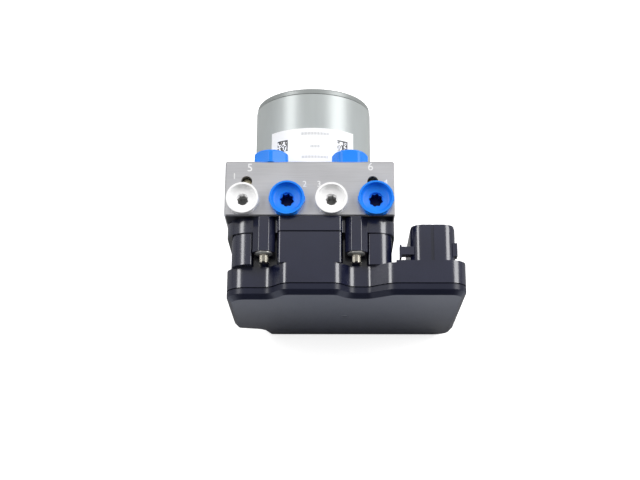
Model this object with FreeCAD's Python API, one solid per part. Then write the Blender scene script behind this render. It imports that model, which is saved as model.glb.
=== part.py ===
"""Anti-lock brake module: a hydraulic block with its pump motor and its control unit.

Sizes are in millimetres. X runs along the row of wheel ports, Y along the motor axis and out of the motor
side, and Z up to the port face. The origin is the middle of the block's bottom face, on which it stands.
"""
import FreeCAD, Part
import math
import os

V = FreeCAD.Vector
UP = V(0, 0, 1)
DOWN = V(0, 0, -1)
AWAY = V(0, 1, 0)
NEAR = V(0, -1, 0)
SIDES = (-1, 1)

# Clearances
slide_gap = 0.05
press_gap = 0.02
loose_gap = 0.3

# Hydraulic block
block_width = 100.0
block_depth = 34.0
block_height = 108.0
block_chamfer = 0.8
port_face = block_height
motor_face = block_depth / 2
unit_face = -block_depth / 2

# Wheel ports, in a row on the port face, small and large by turns
wheel_ports = 4
wheel_port_pitch = 26.1
wheel_port_middle = -0.2
wheel_port_y = -7.1
small_port_radius = 4.5
large_port_radius = 5.5
port_depth = 14.0
port_mouth = 0.8
drill_point = 118.0

# Master cylinder ports, on the motor side
master_port_left = -23.3
master_port_right = 23.9
master_port_drop = 11.0

# Channel plugs: balls pressed into drilled channels, on the port face and on the two ends
ball_radius = 3.25
ball_sink = 2.2
ball_spread = 37.2
ball_y = 4.4
channel_depth = 12.0
end_ball_y = 6.0
end_ball_drop = 24.0

# Motor axis, and the chamber that the eccentric turns in
motor_x = 1.0
chamber_radius = 12.0
chamber_floor = -5.0

# Motor can, hung below the port face
can_radius = 36.5
can_drop = 17.0
motor_z = port_face - can_drop - can_radius
can_wall = 2.0
can_length = 55.0
can_rim = 3.1
rim_step = 0.5
rim_round = 2.4
pocket_radius = 9.0
pocket_length = 4.0
pocket_fillet = 2.0

# End shield, with the spigot that holds the front bearing
shield_thickness = 2.5
spigot_radius = 13.0
spigot_length = 7.5
spigot_lip = 1.0
bearing_radius = 11.0
bearing_width = 6.0
lug_radius = 6.5
lug_reach = 8.1
lug_angle = 42.3

# Motor screws
motor_screw_radius = 2.4
motor_screw_hole = 2.6
motor_screw_length = 12.0
motor_screw_head = 4.3
motor_screw_head_height = 4.5
motor_screw_key = 4.0

# Front bearing
shaft_radius = 5.0
inner_race_radius = 7.0
outer_race_radius = 9.4
bearing_balls = 7

# Magnets
magnet_thickness = 4.9
magnet_start = 34.5
magnet_length = 27.0
magnet_count = 4
magnet_angle = 72.0
magnet_bore = can_radius - can_wall - magnet_thickness

# Rotor
shaft_shoulder_radius = 6.2
rear_journal_radius = 3.5
rear_bush_length = 4.5
air_gap = 0.7
core_radius = magnet_bore - air_gap
core_start = 37.0
core_length = 22.0
slot_count = 12
slot_width = 3.6
slot_floor = 17.0
slot_clearance = 0.2
winding_overhang = 3.5
winding_sink = 1.9
winding_radius = core_radius - winding_sink
commutator_radius = 10.0
commutator_start = 22.0
commutator_length = 10.0
commutator_slit = 0.6
commutator_slit_depth = 1.0
rotor_rear_gap = 0.5

# Brush holder and brushes
holder_thickness = 2.5
holder_bore = 11.5
brush_width = 7.0
brush_height = 6.0
brush_length = 12.0
brush_start = 24.0
brush_gap = 0.1
carrier_wall = 1.6

# Terminal blades between the motor and the circuit board
terminal_rise = 17.5
terminal_bore = 3.2
terminal_thickness = 0.8
terminal_width = 3.0
terminal_spread = 1.4

# Eccentric and its bearing ring
eccentric_throw = 1.2
eccentric_radius = 6.5
eccentric_start = -3.0
eccentric_length = 10.0
ring_radius = 9.5
ring_gap = 0.3

# Pump: two pistons in line, either side of the eccentric
pump_y = 2.0
piston_radius = 3.2
piston_length = 18.0
sleeve_radius = 6.4
sleeve_start = 12.6
sleeve_breakthrough = 6.0
pump_cap_radius = 8.0
pump_cap_length = 10.0
pump_cap_sink = 2.0
sleeve_end = block_width / 2 - abs(motor_x) - pump_cap_sink - pump_cap_length
pump_cap_dish = 4.5
pump_spring_wire = 0.8
pump_spring_turns = 3.0
piston_bore = 2.65
piston_bore_depth = 8.0

# Low-pressure accumulators, in the bottom face
accumulator_spread = 15.0
accumulator_y = 5.0
accumulator_radius = 9.0
accumulator_depth = 30.0
accumulator_piston_height = 10.0
accumulator_recess = 6.8
accumulator_crown = 3.5
accumulator_cap_radius = 10.2
accumulator_cap_seat = 3.0
accumulator_cap_thickness = 2.6
accumulator_spring_radius = 5.6
accumulator_spring_wire = 1.6
accumulator_spring_turns = 4.0

# Solenoid valves: four columns and three rows on the control unit's side
valve_pitch = 21.0
valve_columns = 4
valve_top_drop = 26.0
closed_circuit_valves = (1, 2)
valve_radius = 5.4
valve_depth = 11.0
valve_sleeve_radius = 3.5
valve_sleeve_wall = 0.5
valve_sleeve_length = 22.0
armature_length = 13.0
armature_stroke = 0.35

# Solenoid coils
coil_radius = 9.8
coil_bore = 3.8
coil_length = 21.0
coil_start_gap = 1.5

# Pressure sensor
sensor_radius = 5.4
sensor_depth = 8.0
sensor_neck_radius = 4.0
sensor_length = 18.0

# Control unit: outline, measured from the port face down
unit_left = -49.2
unit_right = 91.2
unit_front = 0.5
unit_bottom_gap = 0.5
unit_back = block_height - unit_bottom_gap
collar_left = -49.2
collar_right = 50.2
collar_front = 0.1
collar_lift = 0.4
collar_end = -25.8
groove_width = 0.8
groove_depth = 0.8
body_left = -46.2
body_right = 48.4
flange_top = -45.0
seam = -57.1
seam_width = 0.7
seam_depth = 0.8
unit_wall = 2.8
left_ledge = 3.2
right_ledge = 5.8
flange_slope = 8.4
far_slope = 8.1
far_shoulder = 13.8
flange_left_round = 12.0
flange_right_round = 10.0
flange_low_round = 12.0
flange_corner_round = 8.0
far_foot_round = 6.0
far_top_round = 11.0
lobe_set_back = 5.0
lobe_round_left = 11.0
lobe_round_right = 8.0
collar_round = 3.5
collar_low_round = 5.0
middle_left = -18.4
middle_right = 18.8
screw_bay_depth = 12.4
screw_bay_left = -33.6
screw_bay_right = 34.4
left_notch = 11.4
right_notch = 9.6
partition_top = -44.0
partition = 2.5
bottom_notch = 14.6
bottom_notch_end = -28.5
notch_slope = 4.2

# Screw towers and the screws of the control unit
tower_left = -26.6
tower_right = 27.4
tower_width = 13.2
tower_flat = 5.8
tower_shoulder = 3.6
tower_end = -38.0
tower_back = 13.5
screw_drop = 6.5
corner_screw_x = -38.5
corner_screw_z = 8.0
corner_tower_right = -31.5
corner_tower_top = 16.5
unit_screw_radius = 2.0
unit_screw_hole = 2.4
unit_screw_bite = 12.0
unit_screw_end_gap = 1.0
screw_lobes = 6
washer_radius = 5.2
washer_thickness = 1.4
washer_edge = 0.6
screw_head_radius = 3.0
screw_head_height = 4.6
screw_head_bevel = 0.5
flute_radius = 0.8
flute_depth = 0.6

# Locating peg of the control unit
peg_x = 41.0
peg_z = 8.0
peg_radius = 2.5
peg_length = 5.0

# Connector shroud, with the rails of its lock
shroud_left = 59.2
shroud_right = 85.4
shroud_front = port_face - 3.0
shroud_height = 60.0
shroud_back = shroud_front - shroud_height
shroud_top = -21.2
shroud_wall = 2.0
shroud_round = 7.5
shroud_floor = -41.5
pad_top = -43.7
pad_left = 50.5
shroud_groove_width = 1.8
shroud_groove_depth = 0.8
shroud_groove_offset = -0.6
mouth_rim = 1.5
mouth_set_back = 0.4
rail_reach = 6.4
rail_set_back = 2.0
rail_front = shroud_front - rail_set_back
rail_length = 6.0
rail_low = -39.0
rail_high = -34.2
fin_thickness = 1.0
fin_low = -40.9
fin_high = -33.0
boss_reach = 0.9
boss_low = -40.1
boss_high = -32.1

# Connector pins
pin_rows = 2
pin_columns = 12
pin_pitch = 2.6
pin_size = 0.8
pin_row_spread = 7.0
pin_top = -33.5
blade_width = 6.0
blade_thickness = 1.2
blade_count = 4
blade_pitch = 9.0

# Circuit board
board_thickness = 1.6
board_level = -52.0
board_gap = 0.8
post_radius = 2.6
post_inset = 9.0
low_post_lift = 4.0

# Parts on the board: place across and up from the unit's middle height, width, height and thickness
board_parts = ((-5, 6, 22, 22, 1.6), (30, 16, 14, 14, 1.4), (30, -9, 14, 14, 1.4), (66, -24, 18, 16, 5.0),
               (-30, -14, 10, 14, 3.0), (-30, 11, 10, 14, 3.0), (66, 21, 10, 12, 4.0), (10, -29, 16, 10, 2.0))

# Gasket between the control unit and the block
gasket_inset = 0.8
gasket_width = 1.2
gasket_height = 1.2

# Cover
cover_end = -63.9
cover_bevel = 2.8
cover_floor = 2.4
cover_wall = 3.2
gate_radius = 1.9
gate_depth = 0.4

# Port plugs
star_points = 8
star_clocking = 12.0
small_star_tip = 3.45
small_star_valley = 2.8
large_star_tip = 4.25
large_star_valley = 3.4
plug_gap = 0.1
shank_bevel = 1.0
small_shank_length = 10.0
large_shank_length = 11.0
small_rim_radius = 9.45
small_rim_height = 4.4
small_hex = 18.0
small_cup_radius = 8.3
small_cup_floor = -1.5
neck_margin = 0.15
neck_top = 0.5
cup_foot_rise = 1.2
cup_wall_lean = 0.8
cup_round = 2.5
large_rim_radius = 10.3
large_rim_height = 5.0
large_hex = 19.6
large_hex_round = 10.7
large_cup_radius = 9.2
large_cup_floor = -1.0
hex_height = 2.6
star_depth = 7.0
master_star_depth = 8.0
master_hex = 20.0
master_hex_round = 10.85
master_head_height = 8.2
master_head_chamfer = 1.4
master_cup_radius = 7.0
master_cup_depth = 2.0

# Motor label
label_thickness = 0.15
label_start = 3.0
label_length = 25.5
label_angle = 87.0
label_cutter = 80.0

# Bracket holes, threaded in the block
bracket_hole_radius = 2.5
bracket_hole_depth = 12.0
side_hole_radius = 3.4
side_hole_depth = 12.0
side_hole_z = 20.0


def placed(shape, base, direction):
    """The shape, modelled along +Z at the origin, moved to its base and turned along a direction."""
    moved = shape.copy()
    moved.Placement = FreeCAD.Placement(base, FreeCAD.Rotation(UP, direction)).multiply(shape.Placement)
    return moved


def cylinder(radius, length, base, direction=UP):
    return placed(Part.makeCylinder(radius, length), base, direction)


def tube(outer, inner, length, base, direction=UP):
    return cylinder(outer, length, base, direction).cut(cylinder(inner, length, base, direction))


def box(x_range, y_range, z_range):
    size = V(x_range[1] - x_range[0], y_range[1] - y_range[0], z_range[1] - z_range[0])
    return Part.makeBox(size.x, size.y, size.z, V(x_range[0], y_range[0], z_range[0]))


def rounded_wire(corners, place):
    """Closed outline through corners (u, v, radius), each rounded by its radius."""
    points = [place(u, v) for u, v, radius in corners]
    rounds = []
    for i, (u, v, radius) in enumerate(corners):
        to_last = (points[i - 1] - points[i]).normalize()
        to_next = (points[(i + 1) % len(points)] - points[i]).normalize()
        half = to_last.getAngle(to_next) / 2
        reach = radius / math.tan(half)
        inward = (to_last + to_next).normalize() * (radius / math.sin(half) - radius)
        rounds.append((points[i] + to_last * reach, points[i] + inward, points[i] + to_next * reach, radius))
    edges = []
    for i, (start, middle, end, radius) in enumerate(rounds):
        if radius > 0:
            edges.append(Part.Arc(start, middle, end).toShape())
        following = rounds[(i + 1) % len(rounds)][0]
        if (following - end).Length > 1e-6:
            edges.append(Part.makeLine(end, following))
    return Part.Wire(edges)


def turned(corners, base, direction=UP):
    """Solid of revolution from corners (radius, height) or (radius, height, rounding)."""
    full = [(c[0], c[1], c[2] if len(c) > 2 else 0) for c in corners]
    wire = rounded_wire(full, lambda u, v: V(u, 0, v))
    return placed(Part.Face(wire).revolve(V(0, 0, 0), UP, 360), base, direction)


def polygon_prism(radii, length, base, direction=UP, clocking=0.0):
    """Prism whose corners lie at equal angles and at the radii given, in turn."""
    count = len(radii)
    corners = []
    for i in range(count):
        angle = math.radians(clocking + 360.0 * i / count)
        corners.append(V(radii[i] * math.cos(angle), radii[i] * math.sin(angle), 0))
    face = Part.Face(Part.makePolygon(corners + corners[:1]))
    return placed(face.extrude(UP * length), base, direction)


def hexagon(across_flats, length, base, direction=UP, clocking=0.0):
    return polygon_prism([across_flats / math.sqrt(3)] * 6, length, base, direction, clocking)


def star(tip, valley, length, base, direction=UP):
    return polygon_prism([tip, valley] * star_points, length, base, direction, star_clocking)


def slab(wire, y_from, y_to):
    """An outline drawn at Y = 0, extruded from one Y to another."""
    face = Part.Face(wire)
    face.translate(V(0, y_from, 0))
    return face.extrude(V(0, y_to - y_from, 0))


def outline(corners):
    """Control unit outline from corners (x, depth below the port face, rounding)."""
    return rounded_wire(corners, lambda u, v: V(u, 0, port_face - v))


def inset(wire, distance):
    return wire.makeOffset2D(-distance)


def spring(radius, wire_size, turns, length, base, direction=UP):
    """Coil of square wire, with its ends in one plane each side."""
    pitch = (length - wire_size) / turns
    helix = Part.makeHelix(pitch, pitch * turns, radius)
    half = wire_size / 2
    section = [V(radius - half, 0, -half), V(radius + half, 0, -half), V(radius + half, 0, half)]
    section.append(V(radius - half, 0, half))
    profile = Part.makePolygon(section + section[:1])
    pipe = Part.Wire(helix).makePipeShell([profile], True, True)
    if pipe.Volume < 0:
        pipe.reverse()
    pipe.translate(UP * half)
    return placed(pipe, base, direction)


def on_motor_axis(distance):
    """Point of the motor axis at a distance from the block's motor side."""
    return V(motor_x, motor_face + distance, motor_z)


def wheel_port_x(number):
    return wheel_port_middle + wheel_port_pitch * (number - (wheel_ports - 1) / 2)


def wheel_port(number):
    """Mouth of a wheel port and its radius: small and large ports by turns."""
    radius = small_port_radius if number % 2 == 0 else large_port_radius
    return V(wheel_port_x(number), wheel_port_y, port_face), radius


def master_port(side):
    x = master_port_left if side < 0 else master_port_right
    return V(x, motor_face, port_face - master_port_drop)


def lug_point(side):
    """Screw axis of an end shield lug, outside the can and below its middle."""
    angle = math.radians(lug_angle)
    distance = can_radius + lug_reach
    return V(motor_x + side * distance * math.cos(angle), motor_face, motor_z - distance * math.sin(angle))


def valve_rows():
    """Heights of the valve rows: the lowest lies just above the housing's bottom notch."""
    top = port_face - valve_top_drop
    low = unit_bottom_gap + bottom_notch + unit_wall + coil_radius + loose_gap
    return top, (top + low) / 2, low


def valve_places():
    """Valve axes where they leave the block, row by row, from the left."""
    first = -(valve_columns - 1) / 2 * valve_pitch
    return [V(first + i * valve_pitch, unit_face, z) for z in valve_rows() for i in range(valve_columns)]


def sensor_place():
    """Sensor axis where it leaves the block, halfway between the two lower valve rows."""
    return V(0, unit_face, sum(valve_rows()[1:]) / 2)


def unit_screw_places():
    """Axes of the control unit's screws, at the end faces of their towers."""
    top = port_face - screw_drop
    return [V(tower_left, tower_end, top), V(tower_right, tower_end, top),
            V(corner_screw_x, tower_end, corner_screw_z)]


def port_bore(base, radius, direction):
    """Blind bore with a drill point and a bevelled mouth, cut inwards from its mouth."""
    point = radius / math.tan(math.radians(drill_point / 2))
    profile = [(0, 0), (radius + port_mouth, 0), (radius, port_mouth), (radius, port_depth),
               (0, port_depth + point)]
    return turned(profile, base, direction)


def pump_point(side, distance):
    return V(motor_x + side * distance, pump_y, motor_z)


def hydraulic_block():
    half = block_width / 2
    body = box((-half, half), (unit_face, motor_face), (0, block_height))
    body = body.makeChamfer(block_chamfer, body.Edges)
    cuts = []
    for number in range(wheel_ports):
        mouth, radius = wheel_port(number)
        cuts.append(port_bore(mouth, radius, DOWN))
    for side in SIDES:
        cuts.append(port_bore(master_port(side), large_port_radius, NEAR))
        cuts.append(cylinder(ball_radius + press_gap, channel_depth, V(side * ball_spread, ball_y, port_face), DOWN))
        cuts.append(cylinder(ball_radius + press_gap, channel_depth, V(side * half, end_ball_y, port_face - end_ball_drop),
                             V(-side, 0, 0)))
        sleeve_bore = half - chamber_radius + sleeve_breakthrough
        cuts.append(cylinder(sleeve_radius + press_gap, sleeve_bore, V(side * half, pump_y, motor_z), V(-side, 0, 0)))
        cap_depth = half - side * motor_x - sleeve_end
        cuts.append(cylinder(pump_cap_radius + press_gap, cap_depth, V(side * half, pump_y, motor_z),
                             V(-side, 0, 0)))
        cuts.append(cylinder(side_hole_radius, side_hole_depth, V(side * half, 0, side_hole_z), V(-side, 0, 0)))
        low = V(side * accumulator_spread, accumulator_y, 0)
        cuts.append(cylinder(accumulator_radius, accumulator_depth, low))
        cuts.append(cylinder(accumulator_cap_radius + press_gap, accumulator_cap_seat, low))
        cuts.append(cylinder(motor_screw_radius, motor_screw_length, lug_point(side), NEAR))
    cuts.append(cylinder(chamber_radius, motor_face - chamber_floor, on_motor_axis(0), NEAR))
    cuts.append(cylinder(spigot_radius + slide_gap, spigot_length + loose_gap, on_motor_axis(0), NEAR))
    cuts.append(cylinder(terminal_bore, block_depth, on_motor_axis(0) + UP * terminal_rise, NEAR))
    cuts.append(cylinder(bracket_hole_radius, bracket_hole_depth, V(0, 0, 0)))
    for place in valve_places():
        cuts.append(cylinder(valve_radius + press_gap, valve_depth, place, AWAY))
    cuts.append(cylinder(sensor_radius + press_gap, sensor_depth, sensor_place(), AWAY))
    for place in unit_screw_places():
        cuts.append(cylinder(unit_screw_radius + press_gap, unit_screw_bite, V(place.x, unit_face, place.z), AWAY))
    cuts.append(cylinder(peg_radius + slide_gap, peg_length + loose_gap, V(peg_x, unit_face, peg_z), AWAY))
    return body.cut(cuts)


def channel_balls():
    places = []
    for side in SIDES:
        places.append(V(side * ball_spread, ball_y, port_face - ball_sink - ball_radius))
        places.append(V(side * (block_width / 2 - ball_sink - ball_radius), end_ball_y,
                        port_face - end_ball_drop))
    return Part.makeCompound([Part.makeSphere(ball_radius, place) for place in places])


def motor_can():
    """Drawn cup with a rounded rim at its closed end and a pocket for the rear bush."""
    shoulder = can_length - can_rim
    inner = can_radius - can_wall
    end = can_length + pocket_length
    pocket = pocket_radius - can_wall
    profile = [(can_radius, shield_thickness), (can_radius, shoulder), (can_radius - rim_step, shoulder),
               (can_radius - rim_step, can_length, rim_round),
               (pocket_radius, can_length, pocket_fillet), (pocket_radius, end, pocket_fillet / 2), (0, end),
               (0, end - can_wall), (pocket, end - can_wall), (pocket, can_length - can_wall),
               (inner, can_length - can_wall), (inner, shield_thickness)]
    return turned(profile, on_motor_axis(0), AWAY)


def motor_end_shield():
    """Plate that closes the can, with two screw lugs and the spigot of the front bearing."""
    plate = cylinder(can_radius, shield_thickness, on_motor_axis(0), AWAY)
    for side in SIDES:
        lug = lug_point(side)
        plate = plate.fuse(cylinder(lug_radius, shield_thickness, lug, AWAY))
        inward = (on_motor_axis(0) - lug).normalize()
        across = V(inward.z, 0, -inward.x) * lug_radius
        reach = inward * (lug_radius + can_radius / 3)
        web = Part.makePolygon([lug + across, lug + across + reach, lug - across + reach, lug - across, lug + across])
        plate = plate.fuse(Part.Face(web).extrude(AWAY * shield_thickness))
    spigot = cylinder(spigot_radius, spigot_length, on_motor_axis(0), NEAR)
    plate = plate.fuse(spigot).removeSplitter()
    seat = cylinder(bearing_radius + press_gap, spigot_length - spigot_lip + shield_thickness,
                    on_motor_axis(spigot_lip - spigot_length), AWAY)
    hole = cylinder(outer_race_radius, spigot_length + shield_thickness, on_motor_axis(-spigot_length), AWAY)
    window = cylinder(terminal_bore, shield_thickness, on_motor_axis(0) + UP * terminal_rise, AWAY)
    cuts = [seat, hole, window]
    for side in SIDES:
        cuts.append(cylinder(motor_screw_hole, shield_thickness, lug_point(side), AWAY))
    return plate.cut(cuts)


def motor_screws():
    screws = []
    for side in SIDES:
        seat = lug_point(side) + AWAY * shield_thickness
        shank = cylinder(motor_screw_radius - press_gap, motor_screw_length, seat, NEAR)
        head = cylinder(motor_screw_head, motor_screw_head_height, seat, AWAY)
        key = hexagon(motor_screw_key, motor_screw_head_height / 2, seat + AWAY * motor_screw_head_height / 2, AWAY)
        screws.append(head.fuse(shank).cut(key))
    return Part.makeCompound(screws)


def motor_label():
    """Printed label wrapped over the top of the can, next to the block."""
    base = on_motor_axis(label_start)
    sheet = tube(can_radius + label_thickness, can_radius, label_length, base, AWAY)
    half = math.radians(label_angle / 2)
    across = V(math.sin(half), 0, math.cos(half)) * label_cutter
    corners = [base, base + across, base + UP * label_cutter, base + V(-across.x, 0, across.z), base]
    return sheet.common(Part.Face(Part.makePolygon(corners)).extrude(AWAY * label_length))


def motor_magnets():
    """Curved magnets along the can's wall, evenly spaced."""
    outer = can_radius - can_wall - press_gap
    base = on_motor_axis(magnet_start - motor_face)
    magnets = []
    for i in range(magnet_count):
        start = 360.0 * (i + 0.5) / magnet_count - magnet_angle / 2
        ring = Part.makeCylinder(outer, magnet_length, V(0, 0, 0), UP, magnet_angle)
        ring = ring.cut(Part.makeCylinder(magnet_bore, magnet_length))
        ring.rotate(V(0, 0, 0), UP, start)
        magnets.append(placed(ring, base, AWAY))
    return Part.makeCompound(magnets)


def brush_box(side, growth, length, foot=0.0):
    """Room of one brush: a box along X, outwards from the commutator, with a foot towards the block."""
    near = commutator_radius + brush_gap
    far = near + length
    x_range = sorted((motor_x + side * near, motor_x + side * far))
    y_range = (brush_start - growth - foot, brush_start + brush_height + growth)
    half = brush_width / 2 + growth
    return box(x_range, y_range, (motor_z - half, motor_z + half))


def brush_holder():
    """Moulded plate behind the end shield, with a carrier for each brush."""
    radius = can_radius - can_wall - slide_gap
    plate = cylinder(radius, holder_thickness, on_motor_axis(shield_thickness), AWAY)
    foot = brush_start - carrier_wall - motor_face - shield_thickness
    for side in SIDES:
        carrier = brush_box(side, carrier_wall, brush_length + carrier_wall * 2, foot)
        plate = plate.fuse(carrier)
    plate = plate.cut(cylinder(holder_bore, brush_start + brush_height, on_motor_axis(0), AWAY))
    for side in SIDES:
        plate = plate.cut(brush_box(side, slide_gap, brush_length + slide_gap))
    return plate


def motor_brushes():
    face = cylinder(commutator_radius + brush_gap, commutator_start + commutator_length, on_motor_axis(0), AWAY)
    return Part.makeCompound([brush_box(side, 0, brush_length).cut(face) for side in SIDES])


def motor_terminals():
    """Two blades from the brush holder, through the block, to the circuit board."""
    end = board_level + loose_gap
    blades = []
    for side in SIDES:
        x = motor_x + side * terminal_spread
        z = motor_z + terminal_rise
        blades.append(box((x - terminal_thickness / 2, x + terminal_thickness / 2),
                          (end, motor_face + shield_thickness),
                          (z - terminal_width / 2, z + terminal_width / 2)))
    return Part.makeCompound(blades)


def front_bearing_outer():
    """Outer ring of the front bearing, with its balls."""
    base = on_motor_axis(spigot_lip - spigot_length)
    ring = tube(bearing_radius, outer_race_radius, bearing_width, base, AWAY)
    pitch_radius = (inner_race_radius + outer_race_radius) / 2
    ball = (outer_race_radius - inner_race_radius) / 2 - slide_gap
    middle = base + AWAY * bearing_width / 2
    parts = [ring]
    for i in range(bearing_balls):
        angle = 2 * math.pi * i / bearing_balls
        offset = V(math.cos(angle), 0, math.sin(angle)) * pitch_radius
        parts.append(Part.makeSphere(ball, middle + offset))
    return Part.makeCompound(parts)


def front_bearing_inner():
    base = on_motor_axis(spigot_lip - spigot_length)
    return tube(inner_race_radius, shaft_radius + press_gap, bearing_width, base, AWAY)


def rear_bush():
    base = on_motor_axis(can_length + pocket_length - can_wall - rear_bush_length)
    return tube(pocket_radius - can_wall - press_gap, rear_journal_radius + slide_gap, rear_bush_length, base, AWAY)


def rotor_shaft():
    """Stepped shaft with the pump's eccentric at its end."""
    bearing_start = motor_face + spigot_lip - spigot_length
    rear_step = core_start + core_length + winding_overhang + rotor_rear_gap
    rear_end = motor_face + can_length + pocket_length - can_wall - rotor_rear_gap
    front = eccentric_start + eccentric_length

    def level(y):
        return y - motor_face

    profile = [(0, level(front)), (shaft_shoulder_radius, level(front)),
               (shaft_shoulder_radius, level(bearing_start)), (shaft_radius, level(bearing_start)),
               (shaft_radius, level(rear_step)), (rear_journal_radius, level(rear_step)),
               (rear_journal_radius, level(rear_end)), (0, level(rear_end))]
    shaft = turned(profile, on_motor_axis(0), AWAY)
    journal = cylinder(eccentric_radius, eccentric_length, eccentric_centre(), AWAY)
    return shaft.fuse(journal)


def eccentric_centre():
    """Start of the eccentric's own axis, which stands above the motor axis at rest."""
    return V(motor_x, eccentric_start, motor_z + eccentric_throw)


def eccentric_ring():
    return tube(ring_radius, eccentric_radius + slide_gap, eccentric_length, eccentric_centre(), AWAY)


def slot_boxes(clearance, floor, rim):
    """The rotor's slots as boxes, evenly spaced and narrower by the clearance on each side."""
    half = slot_width / 2 - clearance
    boxes = []
    for i in range(slot_count):
        bar = Part.makeBox(rim - floor, half * 2, core_length, V(floor, -half, 0))
        bar.rotate(V(0, 0, 0), UP, 360.0 * i / slot_count)
        boxes.append(bar)
    return boxes


def rotor_core():
    core = Part.makeCylinder(core_radius, core_length)
    core = core.cut([Part.makeCylinder(shaft_radius + press_gap, core_length)]
                    + slot_boxes(0, slot_floor, core_radius + 1))
    return placed(core, on_motor_axis(core_start - motor_face), AWAY)


def rotor_windings():
    """Copper in the slots, joined by the end turns on both sides of the core."""
    bars = slot_boxes(slot_clearance, slot_floor + slot_clearance, winding_radius)
    turns = tube(winding_radius, slot_floor + slot_clearance, winding_overhang, V(0, 0, -winding_overhang))
    far_turns = tube(winding_radius, slot_floor + slot_clearance, winding_overhang, V(0, 0, core_length))
    copper = turns.fuse(bars + [far_turns])
    return placed(copper, on_motor_axis(core_start - motor_face), AWAY)


def commutator():
    ring = Part.makeCylinder(commutator_radius, commutator_length)
    ring = ring.cut(Part.makeCylinder(shaft_radius + press_gap, commutator_length))
    slits = []
    for i in range(slot_count):
        slit = Part.makeBox(commutator_slit_depth * 2, commutator_slit, commutator_length,
                            V(commutator_radius - commutator_slit_depth, -commutator_slit / 2, 0))
        slit.rotate(V(0, 0, 0), UP, 360.0 * i / slot_count)
        slits.append(slit)
    return placed(ring.cut(slits), on_motor_axis(commutator_start - motor_face), AWAY)


def piston_reach():
    """Distance from the motor axis to a piston's tip, clear of the eccentric's whole sweep."""
    return ring_radius + eccentric_throw + ring_gap


def pump_piston(side):
    start = piston_reach()
    body = cylinder(piston_radius, piston_length, pump_point(side, start), V(side, 0, 0))
    bore = cylinder(piston_bore, piston_bore_depth, pump_point(side, start + piston_length), V(-side, 0, 0))
    return body.cut(bore)


def pump_sleeves():
    length = sleeve_end - sleeve_start
    return Part.makeCompound([tube(sleeve_radius, piston_radius + slide_gap, length,
                                   pump_point(side, sleeve_start), V(side, 0, 0)) for side in SIDES])


def pump_caps():
    """Plugs that close the pump bores at the two ends of the block."""
    caps = []
    for side in SIDES:
        cap = cylinder(pump_cap_radius, pump_cap_length, pump_point(side, sleeve_end), V(side, 0, 0))
        dish = cylinder(pump_cap_dish, pump_cap_length / 2, pump_point(side, sleeve_end + pump_cap_length),
                        V(-side, 0, 0))
        caps.append(cap.cut(dish))
    return Part.makeCompound(caps)


def pump_springs():
    """Return springs, between each piston's bore and its cap."""
    start = piston_reach() + piston_length - piston_bore_depth + eccentric_throw * 2 + loose_gap
    radius = piston_bore - pump_spring_wire / 2 - loose_gap
    return Part.makeCompound([spring(radius, pump_spring_wire, pump_spring_turns, sleeve_end - start,
                                     pump_point(side, start), V(side, 0, 0)) for side in SIDES])


def accumulator_point(side, z):
    return V(side * accumulator_spread, accumulator_y, z)


def accumulator_piston_base():
    return accumulator_depth - loose_gap - accumulator_piston_height


def accumulator_piston(side):
    """Cup-shaped piston, open towards its spring."""
    base = accumulator_piston_base()
    radius = accumulator_radius - slide_gap
    body = cylinder(radius, accumulator_piston_height, accumulator_point(side, base))
    recess = accumulator_piston_height - accumulator_crown
    return body.cut(cylinder(accumulator_recess, recess, accumulator_point(side, base)))


def accumulator_spring(side):
    top = accumulator_piston_base() + accumulator_piston_height - accumulator_crown
    return spring(accumulator_spring_radius, accumulator_spring_wire, accumulator_spring_turns,
                  top - accumulator_cap_seat, accumulator_point(side, accumulator_cap_seat))


def accumulator_caps():
    base = accumulator_cap_seat - accumulator_cap_thickness
    return Part.makeCompound([cylinder(accumulator_cap_radius, accumulator_cap_thickness,
                                       accumulator_point(side, base)) for side in SIDES])


def armature_chamber():
    """Length of the room that an armature moves in."""
    return armature_length + armature_stroke + slide_gap * 2


def valve_bodies(places):
    """Valve cartridges: a body in the block, and the sleeve that reaches into the coil."""
    end = valve_sleeve_length
    chamber_end = end - valve_sleeve_wall
    chamber_start = chamber_end - armature_chamber()
    inner = valve_sleeve_radius - valve_sleeve_wall
    body = [(0, -valve_depth), (valve_radius, -valve_depth), (valve_radius, 0), (valve_sleeve_radius, 0),
            (valve_sleeve_radius, end), (0, end)]
    chamber = [(0, chamber_start), (inner, chamber_start), (inner, chamber_end), (0, chamber_end)]
    return Part.makeCompound([turned(body, place, NEAR).cut(turned(chamber, place, NEAR)) for place in places])


def valve_armature(place, opens_outwards):
    """Plunger at the inner end of its chamber, or at the outer end if the valve closes under power."""
    radius = valve_sleeve_radius - valve_sleeve_wall - slide_gap
    outer_end = valve_sleeve_length - valve_sleeve_wall - slide_gap
    start = outer_end - armature_length
    if opens_outwards:
        start -= armature_stroke
    return cylinder(radius, armature_length, place + NEAR * start, NEAR)


def solenoid_coils():
    """Wound coils, each in its steel cup, around the valve sleeves."""
    return Part.makeCompound([tube(coil_radius, coil_bore, coil_length, place + NEAR * coil_start_gap, NEAR)
                              for place in valve_places()])


def pressure_sensor():
    profile = [(0, -sensor_depth), (sensor_radius, -sensor_depth), (sensor_radius, 0), (sensor_neck_radius, 0),
               (sensor_neck_radius, sensor_length, 1), (0, sensor_length)]
    return turned(profile, sensor_place(), NEAR)


def collar_outline():
    """Control unit against the block: two corner lobes beside a middle panel."""
    lobe = lobe_set_back - collar_lift
    left = middle_left - collar_lift / 2
    return outline([(collar_left, lobe, lobe_round_left + collar_round), (left, lobe, 0.8),
                    (left, collar_front, 1.8), (middle_right, collar_front, 1.5),
                    (middle_right, lobe, 0.8), (collar_right, lobe, lobe_round_right + collar_round),
                    (collar_right, unit_back, collar_low_round), (collar_left, unit_back, collar_low_round)])


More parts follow.
